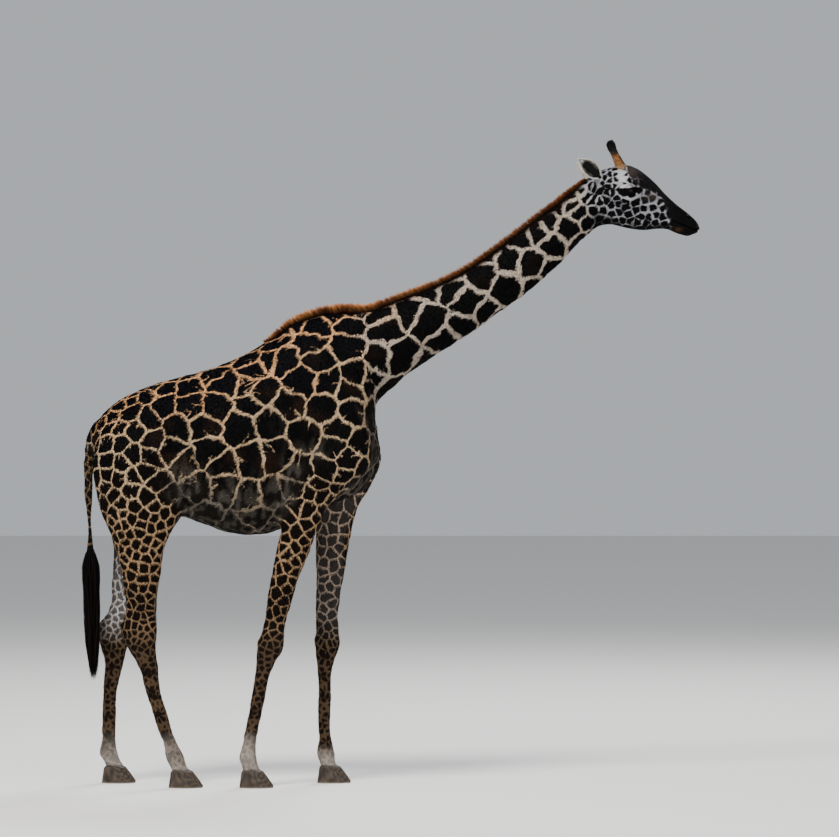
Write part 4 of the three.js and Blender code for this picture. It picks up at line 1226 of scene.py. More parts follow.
class Signal:
    """A shader value that can be worked with as a number."""

    def __init__(self, graph: "Graph", socket: bpy.types.NodeSocket) -> None:
        """Wraps a node's output."""
        self.graph, self.socket = graph, socket

    __add__ = __radd__ = shader_maths("ADD")
    __mul__ = __rmul__ = shader_maths("MULTIPLY")
    __sub__, __rsub__ = shader_maths("SUBTRACT"), shader_maths("SUBTRACT", swapped=True)
    __truediv__, __rtruediv__ = shader_maths("DIVIDE"), shader_maths("DIVIDE", swapped=True)
    __abs__ = shader_maths("ABSOLUTE")
    least, most = shader_maths("MINIMUM"), shader_maths("MAXIMUM")

    def step(self, low: float, high: float) -> "Signal":
        """0 at `low`, 1 at `high`, and a smooth step between."""
        inputs = {"Value": self, "From Min": low, "From Max": high}
        return self.graph.node("ShaderNodeMapRange", {"interpolation_type": "SMOOTHSTEP"}, inputs)["Result"]


class Graph:
    """A material's node tree with its principled shader."""

    def __init__(self, name: str) -> None:
        """Makes a new material."""
        self.material = bpy.data.materials.new(name)
        self.material.use_nodes = True
        self.tree = self.material.node_tree
        self.surface = next(n for n in self.tree.nodes if n.type == "BSDF_PRINCIPLED")

    def node(self, kind: str, settings: dict | None = None, inputs: dict | None = None) -> dict:
        """Adds a node.

        Args:
            kind: the node's type.
            settings: its own settings.
            inputs: values or signals for its sockets, by name or number.

        Returns:
            Its outputs as signals, by name.
        """
        node = self.tree.nodes.new(kind)
        for name, value in (settings or {}).items():
            setattr(node, name, value)
        for name, value in (inputs or {}).items():
            self._feed(node.inputs[name], value)
        return {out.name: Signal(self, out) for out in node.outputs if out.enabled}

    def _feed(self, socket: bpy.types.NodeSocket, value: "Signal | float | Sequence") -> None:
        """Links a signal into a socket, or sets a constant on it."""
        if isinstance(value, Signal):
            self.tree.links.new(value.socket, socket)
        elif hasattr(value, "__len__"):
            wide = len(socket.default_value) == 4 and len(value) == 3
            socket.default_value = (*value, 1.0) if wide else tuple(value)
        else:
            socket.default_value = value

    def maths(self, operation: str, *values: Signal | float) -> Signal:
        """A sum of numbers of any kind that the Math node knows."""
        return self.node("ShaderNodeMath", {"operation": operation}, dict(enumerate(values)))["Value"]

    def vector(self, operation: str, *values: Signal | Sequence) -> dict:
        """A sum of vectors of any kind that the Vector Math node knows."""
        return self.node("ShaderNodeVectorMath", {"operation": operation}, dict(enumerate(values)))

    def mixed(self, a: Signal | Sequence, b: Signal | Sequence, share: Signal | float) -> Signal:
        """A colour between a and b."""
        return self.node("ShaderNodeMix", {"data_type": "RGBA"}, {0: share, 6: a, 7: b})["Result"]

    def shaded(self, colour: Signal, factor: Signal | float) -> Signal:
        """A colour made lighter or darker by a factor."""
        return self.vector("SCALE", colour, (0, 0, 0), (0, 0, 0), factor)["Vector"]

    def attribute(self, name: str) -> dict:
        """A named attribute's outputs."""
        return self.node("ShaderNodeAttribute", {"attribute_name": name})

    def noise(self, scale: float, detail: float = 3.0, stretch: Sequence = (1, 1, 1)) -> Signal:
        """Noise from 0 to 1 in the object's own coordinates, stretched, `scale` waves a metre."""
        at = self.vector("MULTIPLY", self.node("ShaderNodeTexCoord")["Object"], stretch)["Vector"]
        inputs = {"Vector": at, "Scale": scale, "Detail": detail}
        return self.node("ShaderNodeTexNoise", None, inputs)["Fac"]

    def bump(self, height: Signal, distance: float, strength: float = 1.0) -> Signal:
        """A normal bent by a height."""
        inputs = {"Height": height, "Distance": distance, "Strength": strength}
        return self.node("ShaderNodeBump", None, inputs)["Normal"]

    def finish(self, **sockets: Signal | float | Sequence) -> Material:
        """Feeds the principled shader by socket name, with _ for a space, and returns the material."""
        for name, value in sockets.items():
            self._feed(self.surface.inputs[name.replace("_", " ")], value)
        return self.material


@dataclass(frozen=True)
class Gloss:
    """How a finish reflects."""

    roughness: float
    specular: float


HAIR = Gloss(0.65, 0.05)
BARE = Gloss(0.65, 0.12)
HORNY = Gloss(0.50, 0.25)
WET = Gloss(0.08, 0.16)


def tinted_material(name: str, gloss: Gloss, grain: float = 900.0, depth: float = 0.0003,
                    stretch: Sequence = (1, 1, 1), spread: float = 0.28) -> Material:
    """A finish whose colour is the mesh's own tint, varied by a fine grain that also bends it.

    Args:
        name: the material's name.
        gloss: how it reflects.
        grain: waves of the grain for each metre.
        depth: height of the grain.
        stretch: how the grain is stretched along X, Y and Z.
        spread: how far the grain changes the colour's brightness.

    Returns:
        The material.
    """
    g = Graph(name)
    fine, broad = g.noise(grain, 2.0, stretch), g.noise(9.0, 2.0)
    factor = 1.0 + (fine - 0.5) * (2 * spread) + (broad - 0.5) * (0.8 * spread)
    return g.finish(
        Base_Color=g.shaded(g.attribute("tint")["Color"], factor),
        Roughness=(gloss.roughness + (fine - 0.5) * 0.25).most(0.03),
        Specular_IOR_Level=gloss.specular,
        Normal=g.bump(fine, depth),
    )


def skin_material() -> Material:
    """The hide under the tufts. Each face knows its three nearest seeds, each point its warped
    place, and the patch's border is found from them at every place as max over i of min over j of
    (dj² - di²) / 2|sj - si|; the pale line, the spurs and the colours come from the points."""
    g = Graph("hide")
    warped = g.attribute("warped")["Vector"]
    seeds = [g.attribute(f"seed_{k}")["Vector"] for k in range(3)]
    away = [g.vector("SUBTRACT", warped, seed)["Vector"] for seed in seeds]
    squares = [g.vector("DOT_PRODUCT", d, d)["Value"] for d in away]
    gap = {}
    for i, j in ((0, 1), (0, 2), (1, 2)):
        length = g.vector("DISTANCE", seeds[i], seeds[j])["Value"]
        gap[i, j] = (squares[j] - squares[i]) / (length * 2.0)
        gap[j, i] = gap[i, j] * -1.0
    inside = [gap[i, (i + 1) % 3].least(gap[i, (i + 2) % 3]) for i in range(3)]
    border = inside[0].most(inside[1]).most(inside[2])
    half = g.attribute("half")["Fac"]
    taper = (1.0 - border / g.attribute("reach")["Fac"]).most(0.0)
    spur = abs(g.attribute("spur")["Fac"]) - half * taper * 0.85 + (0.0001 - taper).step(0.0, 0.0001) * 0.02
    jag = (g.noise(70.0, 4.0) - 0.5) * 0.012
    edge = (border - half).least(spur) + g.attribute("bias")["Fac"] + jag
    share = edge.step(-0.002, 0.002)
    colour = g.mixed(g.attribute("line")["Color"], g.attribute("patch")["Color"], share)
    hair, broad = g.noise(420.0, 3.0, (0.35, 1.0, 0.35)), g.noise(7.0, 3.0)
    bare = 1.0 - g.attribute("bare")["Fac"]
    factor = 0.92 + (hair - 0.5) * 0.5 * bare + (broad - 0.5) * 0.2
    return g.finish(
        Base_Color=g.shaded(colour, factor),
        Roughness=0.70 - (1.0 - bare) * 0.3 + (hair - 0.5) * 0.2,
        Specular_IOR_Level=0.06,
        Normal=g.bump(hair, 0.0012, 0.7),
    )


# ------------------------------------------------------------------ the coat


@dataclass
class Roots:
    """Places where tufts leave the skin."""

    points: Array
    normals: Array
    fields: Fields

    def where(self, chosen: Array) -> "Roots":
        """The chosen ones."""
        parts = (value[chosen] for value in vars(self.fields).values())
        return Roots(self.points[chosen], self.normals[chosen], Fields(*parts))


@dataclass(frozen=True)
class Lie:
    """Size and set of tufts on a part of the hide, in metres, and how many stand on a square metre."""

    length: float
    width: float
    lift: float  # how far the tip stands off the skin
    density: float


class Coat:
    """Short hair in small flat tufts. Each leaves the skin and lies along it, coloured as the
    markings are at its root."""

    REGIONS = {
        "trunk": Lie(0.0160, 0.0044, 0.0034, 27500),
        "neck": Lie(0.0145, 0.0042, 0.0034, 29000),
        "upper leg": Lie(0.0125, 0.0038, 0.0034, 29000),
        "lower leg": Lie(0.0095, 0.0030, 0.0028, 36000),
        "foot": Lie(0.0080, 0.0026, 0.0026, 45000),
        "head": Lie(0.0072, 0.0022, 0.0022, 90000),
        "face": Lie(0.0046, 0.0016, 0.0013, 170000),
        "tail": Lie(0.0130, 0.0030, 0.0036, 50000),
    }

    def __init__(self, skin: Mesh, anatomy: Anatomy, markings: Markings, s: Array) -> None:
        """Sows the roots on the skin, whose points lie at places s along the body."""
        self.anatomy, self.markings = anatomy, markings
        self.rng = np.random.default_rng(77)
        self.roots = self._sow(skin, s)

    def lie(self, f: Fields) -> tuple[Array, Array, Array, Array]:
        """Length, width, lift and density at each point, by how much it belongs to each region."""
        z, limb, tail = f.points[:, 2], f.on_limb, f.on_tail
        low, foot = smoothstep(1.25, 0.85, z) * limb, smoothstep(0.24, 0.14, z) * limb
        neck, head, face = (smoothstep(start, end, f.s) * (1 - limb)
                            for start, end in ((11.0, 13.0), (20.0, 21.6), (28.2, 30.2)))
        rows = np.array([(r.length, r.width, r.lift, r.density) for r in self.REGIONS.values()])
        shares = np.array([(1 - neck) * (1 - limb) * (1 - tail), neck - head, (limb - low) * (1 - tail),
                           (low - foot) * (1 - tail), foot * (1 - tail), head - face, face, tail])
        return tuple((shares.T @ rows).T)

    def _sow(self, skin: Mesh, s: Array) -> Roots:
        """Strews roots over the skin's triangles in proportion to area and density."""
        skin.calc_loop_triangles()
        corners = read_indices(skin.loop_triangles, "vertices", 3).reshape(-1, 3)
        points, normals = read_points(skin), read_points(skin, "normal")
        a, b, c = (points[corners[:, k]] for k in range(3))
        area = np.linalg.norm(np.cross(b - a, c - a), axis=1) / 2
        middle = self.anatomy.fields((a + b + c) / 3, s[corners].mean(axis=1))
        ends = np.cumsum(area * self.lie(middle)[3] * self._growing(middle))
        count = int(ends[-1])
        steps = (np.arange(count) + self.rng.uniform(0, 1, count)) * (ends[-1] / count)
        own = corners[np.minimum(np.searchsorted(ends, steps), len(corners) - 1)]
        u, v = self.rng.uniform(0, 1, (2, count))
        flip = u + v > 1
        u, v = np.where(flip, 1 - u, u), np.where(flip, 1 - v, v)
        weights = np.column_stack([1 - u - v, u, v])
        at, normal = (np.einsum("ij,ijk->ik", weights, rows[own]) for rows in (points, normals))
        return Roots(at, unit(normal), self.anatomy.fields(at, np.einsum("ij,ij->i", weights, s[own])))

    def _growing(self, f: Fields) -> Array:
        """1 where hair grows, 0 on the eyes' edges, in the nostrils, and under the hooves."""
        x, y, z = f.drawn
        eye = np.hypot((x - EYE_DRAWN_X) / 0.0235, (z - EYE_CENTRE[2] + 0.12 * (x - EYE_DRAWN_X)) / 0.0140)
        nostril = np.hypot((x - 1.757) / 0.020, (z - 3.336) / 0.015)
        under = (z < 0.095) & (f.limb_gap < 0.02)
        return 1.0 * ~((eye < 1.0) & (y > 0.07) | (nostril < 1.0) & (y > 0.03) | under)

    def flow(self, roots: Roots) -> Array:
        """The way the hair lies: back from nose to rump and down towards the belly, and down the
        legs and the tail."""
        f = roots.fields
        back = -self.anatomy.body.tangent(f.s)
        fall = 0.75 - 0.35 * smoothstep(11.0, 14.0, f.s) - 0.25 * smoothstep(20.5, 22.5, f.s)
        limb = np.maximum(f.on_limb, f.on_tail)
        along = unit(blend(back + fall[:, None] * -UP, np.tile(-UP, (len(back), 1)), limb))
        sway = self.rng.normal(0, 0.16, len(back)) + 0.25 * self.markings.wear.at(roots.points * 1.5)
        lying = tangent_to(roots.normals, along)
        return unit(lying + np.cross(roots.normals, lying) * sway[:, None])

    def tufts(self, roots: Roots) -> Shape:
        """Builds the tufts, each a keel of four points: the root, two side points two fifths of the
        way along and just under the skin, and the tip lifted off it."""
        n, base, count, rng = roots.normals, roots.points, len(roots.points), self.rng
        flow = self.flow(roots)
        length, width, lift, _ = self.lie(roots.fields)
        length = (length * rng.uniform(0.72, 1.22, count))[:, None]
        aside = (width * rng.uniform(0.8, 1.2, count))[:, None] * np.cross(n, flow) * 0.5
        lift = (lift * rng.uniform(0.5, 1.1, count))[:, None]
        middle = base + 0.38 * length * flow - 0.0005 * n
        points = np.stack([base - 0.12 * length * flow - 0.0004 * n, middle + aside, middle - aside,
                           base + length * flow + lift * n], axis=1).reshape(-1, 3)
        pattern = np.array([(0, 3, 1), (0, 2, 3), (0, 1, 2), (3, 2, 1)])
        faces = (pattern[None] + 4 * np.arange(count)[:, None, None]).reshape(-1, 3)
        shade = 1 + 0.11 * rng.normal(size=(count, 1))
        colours = np.clip(self.markings.colour(roots.fields) * shade, 0, 1)
        patch = 0.0015 * np.array([(0, -1), (-1, 0), (1, 0), (0, 1)])
        atlas = self.anatomy.unwrap(roots.fields)[:, None] + patch
        return Shape(points, [faces], np.repeat(colours, 4, axis=0), atlas.reshape(-1, 2)).outward()

    def parts(self) -> dict[str, Array]:
        """Which roots belong to each piece of the coat."""
        f = self.roots.fields
        tail = f.tail < np.minimum(f.limb_gap, f.body)
        limb, right = f.limb_gap < f.body, f.side == RIGHT
        body = ~limb & ~tail
        fore, hind = limb & ~tail & (f.limb < 2), (limb & (f.limb >= 2)) | tail
        return {
            "coat_trunk_right": body & (f.s < 12) & right,
            "coat_trunk_left": body & (f.s < 12) & ~right,
            "coat_neck": body & (f.s >= 12) & (f.s < 20.8),
            "coat_head": body & (f.s >= 20.8),
            "coat_foreleg_right": fore & right,
            "coat_foreleg_left": fore & ~right,
            "coat_hindleg_right": hind & right,
            "coat_hindleg_left": hind & ~right,
        }

    def build(self, material: Material) -> None:
        """Makes every piece of the coat."""
        for name, chosen in self.parts().items():
            slot = Slot.FACE if name == "coat_head" else Slot.COAT
            place(name, new_mesh(name, self.tufts(self.roots.where(chosen))), material, slot)


# ------------------------------------------------------------------ longer hair


def locks(paths: Array, widths: Array, across: Array, root: Array, tip: Array,
          flat: float = 0.45, turn: float = 1.0) -> Shape:
    """Locks of hair: closed three-sided spindles along paths.

    Args:
        paths: points along each lock, (lock, step, XYZ), the last its tip.
        widths: its width at each step but the last, (lock, step - 1).
        across: the direction of each lock's width, (lock, XYZ).
        root: colour at each root.
        tip: colour at each tip.
        flat: its thickness as a share of its width.
        turn: how late along the lock its colour turns to the tip's.

    Returns:
        All the locks as one shape.
    """
    count, steps, _ = paths.shape
    rings = steps - 1
    ahead = unit(np.diff(paths, axis=1))
    side = unit(across[:, None] - ahead * np.sum(across[:, None] * ahead, axis=2, keepdims=True))
    rise = np.cross(ahead, side)
    turns = np.array([0.0, 2.0, 4.0]) * math.pi / 3 + math.pi / 2
    ring = (np.cos(turns)[:, None] * side[:, :, None] + flat * np.sin(turns)[:, None] * rise[:, :, None])
    grid = paths[:, :rings, None] + 0.5 * widths[:, :, None, None] * ring
    points = np.concatenate([grid.reshape(count, -1, 3), paths[:, -1:]], axis=1)
    last = 3 * rings
    quads = [(a + i, a + (i + 1) % 3, a + 3 + (i + 1) % 3, a + 3 + i)
             for a in range(0, last - 3, 3) for i in range(3)]
    triangles = [(0, 2, 1), *((last - 3 + i, last - 3 + (i + 1) % 3, last) for i in range(3))]
    start = (last + 1) * np.arange(count)[:, None, None]
    faces = [(np.array(group)[None] + start).reshape(-1, len(group[0])) for group in (quads, triangles)]
    along = np.append(np.repeat(np.linspace(0, 1, rings, endpoint=False), 3), 1.0)[None, :, None] ** turn
    colours = root[:, None] * (1 - along) + tip[:, None] * along
    return Shape(points.reshape(-1, 3), faces, colours.reshape(-1, 3)).outward()


def hairs(base: Array, grow: Array, length: Array, bend: Array, steps: Table, width: Array,
          across: Array, colours: Array, atlas: Array) -> Shape:
    """Locks of one colour each whose points are base + length·(k·grow + k²·bend).

    Args:
        base: the root of each.
        grow: the way in which each leaves it.
        length: the length of each.
        bend: how far they curve, for all or for each.
        steps: values of k from 0 to 1, and the share of the width that a hair has there.
        width: the width of each, (hair, 1).
        across: the direction of each one's width.
        colours: the colour of each.
        atlas: the place of each on the unwrap.

    Returns:
        All of them as one shape.
    """
    k, share = np.array(steps).T[..., None]
    lean = k * grow[:, None] + k ** 2 * np.atleast_2d(bend)[:, None]
    paths = base[:, None] + length[:, None, None] * lean
    return with_atlas(locks(paths, width * share[:-1, 0], across, colours, colours), atlas)


@dataclass
class Mane:
    """The short stiff mane from the withers to the poll: upright locks, dark at the root, that lean a little
    back, in rows across the crest. The dark roots are partly the mane's own dark base and partly painted
    shade, and the outer locks are darkened as painted shade."""

    anatomy: Anatomy
    count: int = 8600
    start: float = 6.05  # places on the body where it starts and ends
    end: float = 20.95
    # Its height and half its width, by the share of the way from start to end.
    rise: Table = ((0, 0.024), (0.06, 0.048), (0.22, 0.056), (0.4, 0.046), (0.6, 0.037), (0.92, 0.032),
                   (1, 0.014))
    half: Table = ((0, 0.014), (0.06, 0.032), (0.22, 0.040), (0.4, 0.036), (0.6, 0.030), (0.92, 0.022),
                   (1, 0.008))

    def build(self, material: Material) -> None:
        """Makes the mane."""
        rng, count, loft = np.random.default_rng(12), self.count, self.anatomy.body
        along = (np.arange(count) + rng.uniform(0, 1, count)) / count
        s = self.start + along * (self.end - self.start)
        across = rng.uniform(-1, 1, count)
        rise = read(self.rise, along) * rng.uniform(0.62, 1.12, count) * (1 - 0.22 * across ** 2)
        tangent = unit(loft.back.at(s + 0.02) - loft.back.at(s - 0.02))
        zero = np.zeros(count)
        out = np.column_stack([-tangent[:, 2], zero, tangent[:, 0]])
        turn = -np.arcsin(np.clip(read(self.half, along) / loft.section(s)[2], 0, 0.9)) * across
        base = loft.surface(s, turn, -COAT_DEPTH - 0.007)
        drop = np.sum((loft.back.at(s) - base) * out, axis=1)
        clump = [Ripple(0.028, 61 + k, 8).at(base) for k in range(2)]
        lean = (0.22 * clump[0] - 0.20)[:, None] * tangent
        grow = unit(out + lean + np.column_stack([zero, 0.10 * across + 0.10 * clump[1], zero]))
        steps = np.array([0.0, 0.35, 0.72, 1.0])[None, :, None]
        paths = base[:, None] + (rise + drop)[:, None, None] * (
            grow[:, None] * steps - 0.10 * tangent[:, None] * steps ** 2)
        widths = 0.0036 * rng.uniform(0.7, 1.3, (count, 1)) * np.array([0.9, 1.0, 0.62])
        facing = unit(tangent + 0.6 * rng.normal(size=(count, 3)))
        warm = np.clip(0.5 + 0.5 * Ripple(0.09, 64).at(base), 0, 1) * smoothstep(1.0, 0.2, along)
        # Dark roots, partly the mane's own dark base and partly painted shade at its foot; the outer locks
        # down the crest's sides are darkened towards them, more painted shade.
        dark = srgb(16, 9, 6) * rng.uniform(0.7, 1.3, (count, 1))
        bright = blend(blend(srgb(134, 76, 38), srgb(206, 134, 74), warm), dark, 0.85 * np.abs(across) ** 3)
        bright = bright * rng.uniform(0.75, 1.2, (count, 1))
        shape = locks(paths, widths, facing, dark, bright, turn=1.5)
        shape = with_atlas(shape, self.anatomy.unwrap(self.anatomy.fields(base, s)))
        place("mane_hair", new_mesh("mane_hair", shape), material, Slot.MANE, "mane")


def with_atlas(shape: Shape, places: Array) -> Shape:
    """Gives each of a shape's equal parts a patch about 0.003 across at its place on the unwrap."""
    each = len(shape.points) // len(places)
    turns = np.linspace(0, 2 * math.pi, each, endpoint=False)
    patch = 0.0015 * np.column_stack([np.cos(turns), np.sin(turns)])
    shape.atlas = (places[:, None] + patch).reshape(-1, 2)
    return shape


@dataclass
class TailBrush:
    """The long black hair of the tail: strands from the dock's end, wavy and gathered in clumps."""

    anatomy: Anatomy
    count: int = 1800
    clumps: int = 60
    top: float = 1.47
    bottom: float = 0.600
    # Half its depth and half its width, by height.
    deep: Table = ((0.588, 0.010), (0.71, 0.026), (0.85, 0.040), (1.03, 0.047), (1.19, 0.053), (1.29, 0.051),
                   (1.35, 0.034), (1.40, 0.014))
    half: Table = ((0.588, 0.007), (0.71, 0.021), (0.85, 0.031), (1.03, 0.036), (1.19, 0.040), (1.29, 0.038),
                   (1.35, 0.027), (1.40, 0.013))

    def build(self, material: Material) -> None:
        """Makes the brush."""
        rng, count = np.random.default_rng(31), self.count
        top = self.top - 0.09 * rng.uniform(0, 1, count) ** 0.6
        x, y, deep, half = self.anatomy.tail.at(top)
        angle = rng.uniform(0, 2 * math.pi, count)
        base_x, base_y = x + 0.8 * deep * np.cos(angle), y + 0.8 * half * np.sin(angle)
        clump = rng.integers(0, self.clumps, count)
        clump_angle = np.linspace(0, 2 * math.pi, self.clumps, endpoint=False)[clump]
        clump_wide = rng.uniform(0.25, 0.95, self.clumps)[clump]
        low = np.where(rng.uniform(0, 1, count) < 0.45, self.bottom + 0.07 * rng.random(count),
                       self.bottom + rng.uniform(0.05, 0.55, count))
        low += 0.03 * rng.random(self.clumps)[clump]
        steps = np.linspace(0, 1, 9)
        z = top[:, None] + (low - top)[:, None] * steps
        spread_x = read(self.deep, z) * (clump_wide * np.cos(clump_angle))[:, None]
        spread_y = read(self.half, z) * (clump_wide * np.sin(clump_angle))[:, None]
        own_x, own_y = rng.normal(0, 0.004, (count, 2)).T[..., None] * steps
        wave = 0.006 * np.sin(z * 14 + clump[:, None] * 1.7) * steps
        share = smoothstep(0.0, 0.22, steps)
        middle = np.interp(z, [0.588, 1.40], [-1.740, -1.760]) + SHIFT
        paths = np.stack([mix(base_x[:, None], middle + spread_x + wave + own_x, share[None]),
                          mix(base_y[:, None], spread_y + 0.7 * wave + own_y, share[None]), z], axis=-1)
        profile = np.array([0.3, 1.0, 1.0, 0.95, 0.85, 0.75, 0.6, 0.45])
        widths = 0.0044 * rng.uniform(0.6, 1.2, (count, 1)) * profile
        facing = unit(rng.normal(size=(count, 3)) * [1, 1, 0.1])
        shade = rng.uniform(0.6, 1.5, (count, 1))
        shape = locks(paths, widths, facing, srgb(6, 5, 5) * shade, srgb(18, 14, 12) * shade, flat=0.6)
        shape = with_atlas(shape, np.column_stack([0.02 * angle, top]))
        place("tail_brush_hair", new_mesh("tail_brush_hair", shape), material, Slot.BLACK_HAIR, "tail_brush")


# ------------------------------------------------------------------ horns, ears, eyes and hooves


def on_side(point: Sequence, side: int) -> Array:
    """A drawn point of the left side, in the frame and on either side."""
    return np.array([point[0] + SHIFT, side * point[1], point[2]])


def frame_along(start: Array, end: Array) -> tuple[Array, Array, Array, float]:
    """Axis from start to end, two directions square to it, and its length."""
    length = np.linalg.norm(end - start)
    axis = (end - start) / length
    one = unit(np.cross(axis, np.array([0.3, 1.0, 0.2])))
    return axis, one, np.cross(axis, one), length


@dataclass
class Horns:
    """Two skin-covered horns: flared at the foot, slim, knobbed, and tufted with black hair."""

    foot: Triple = (1.380, 0.044, 3.585)
    tip: Triple = (1.294, 0.062, 3.776)
    # The shaft's radius, by the share of the way from foot to tip.
    profile: Table = ((-0.10, 0.036), (0.0, 0.0365), (0.14, 0.0325), (0.25, 0.0268), (0.40, 0.0208),
                      (0.60, 0.0165), (0.74, 0.0170), (0.86, 0.0192), (0.94, 0.0180), (0.985, 0.0120),
                      (1.0, 0.004))
    # How wide short and long hairs are along their length.
    short: Table = ((0.0, 1.0), (0.5, 0.8), (1.0, 0.0))
    long: Table = ((0.0, 1.0), (0.4, 0.9), (0.75, 0.6), (1.0, 0.0))
    rng: np.random.Generator = field(default_factory=lambda: np.random.default_rng(8))

    def around(self, side: int, at: Array, turn: Array, share: float = 1.0) -> tuple[Array, Array, Array]:
        """Points on the shaft's middle line, those out at a share of its radius, and the ways out."""
        foot = on_side(self.foot, side)
        axis, one, two, length = frame_along(foot, on_side(self.tip, side))
        out = np.cos(turn)[..., None] * one + np.sin(turn)[..., None] * two
        middle = foot + (at * (length - 0.006))[..., None] * axis
        return middle, middle + (share * read(self.profile, at))[..., None] * out, out

    def core(self, side: int) -> Shape:
        """The horn under its hair."""
        at = np.linspace(-0.10, 1.0, 60)[:, None] * np.ones(40)
        middle, points, _ = self.around(side, at, np.linspace(0, 2 * math.pi, 40, endpoint=False)[None])
        swell = 1 + 0.05 * Ripple(0.030, 91).at(points.reshape(-1, 3)).reshape(at.shape)
        grid, at = middle + (points - middle) * swell[..., None], at.ravel()
        colours = blend(srgb(118, 84, 52), srgb(18, 14, 13), smoothstep(0.50, 0.78, at))
        return tube(grid, blend(colours, srgb(150, 142, 134), 0.6 * smoothstep(0.24, 0.02, at)))

    def hair(self, side: int) -> Shape:
        """Short hair lying up the shaft, and the black tuft round the knob."""
        rng = self.rng
        axis, _, _, height = frame_along(on_side(self.foot, side), on_side(self.tip, side))
        count = 1500
        at, turn = rng.uniform(-0.02, 0.70, count), rng.uniform(0, 2 * math.pi, count)
        _, base, out = self.around(side, at, turn)
        length = rng.uniform(0.008, 0.013, count)
        grow = unit(axis + 0.10 * rng.normal(size=(count, 3)))
        width = 0.0026 * rng.uniform(0.7, 1.3, (count, 1))
        tone = blend(srgb(132, 92, 56), srgb(66, 42, 26), smoothstep(0.1, 0.8, out @ np.array([0.8, 0, 0.6])))
        tone = blend(tone, srgb(20, 15, 13), smoothstep(0.52, 0.70, at + 0.05 * rng.normal(size=count)))
        tone = blend(tone, srgb(156, 146, 138), 0.7 * smoothstep(0.34, 0.10, at))
        tone = tone * rng.uniform(0.75, 1.2, (count, 1))
        coat = hairs(base, grow, length, 0.22 * out, self.short, width, np.cross(out, axis), tone,
                     np.column_stack([0.02 * turn, at * height]))
        count = 900
        at, turn = rng.uniform(0.60, 0.99, count), rng.uniform(0, 2 * math.pi, count)
        _, base, out = self.around(side, at, turn, 0.8)
        stand = np.interp(at, [0.60, 0.80, 0.90, 1.0], [0.12, 0.62, 0.50, 0.05])[:, None]
        grow = unit(1.1 * axis + stand * out + 0.14 * rng.normal(size=(count, 3)))
        length = np.minimum(0.028, (1.05 - at) * height * 1.25) * rng.uniform(0.7, 1.0, count)
        width = 0.0030 * rng.uniform(0.7, 1.3, (count, 1))
        tone = srgb(15, 12, 12) * rng.uniform(0.7, 1.5, (count, 1))
        tuft = hairs(base, grow, length, 0.25 * (axis - out), self.long, width, np.cross(out, axis), tone,
                     np.column_stack([0.02 * turn + 0.2, at * height]))
        return joined([coat, tuft])

    def build(self, skin: Material, hair: Material) -> None:
        """Makes both horns and their hair."""
        for side, name in SIDES:
            core, tuft = new_mesh("horn", self.core(side)), new_mesh("horn_hair", self.hair(side))
            place(f"horn_core_{name}", core, skin, Slot.HORN_SKIN, f"horn_{name}")
            place(f"horn_hair_{name}", tuft, hair, Slot.BLACK_HAIR, f"horn_tuft_{name}")


@dataclass(frozen=True)
class Fringe:
    """One kind of hair on an ear."""

    count: int
    length: float
    width: float
    start: float  # the place along the ear where it starts
    low: float  # its places across the ear: 0 is the middle, 1 the rim
    high: float
    face: float  # 1 inside the ear, -1 on its back, and 0 on both
    lift: float  # how much it leans towards the opening
    spread: float  # and away from the middle
    tone: Array
    shift: float  # of its places on the unwrap


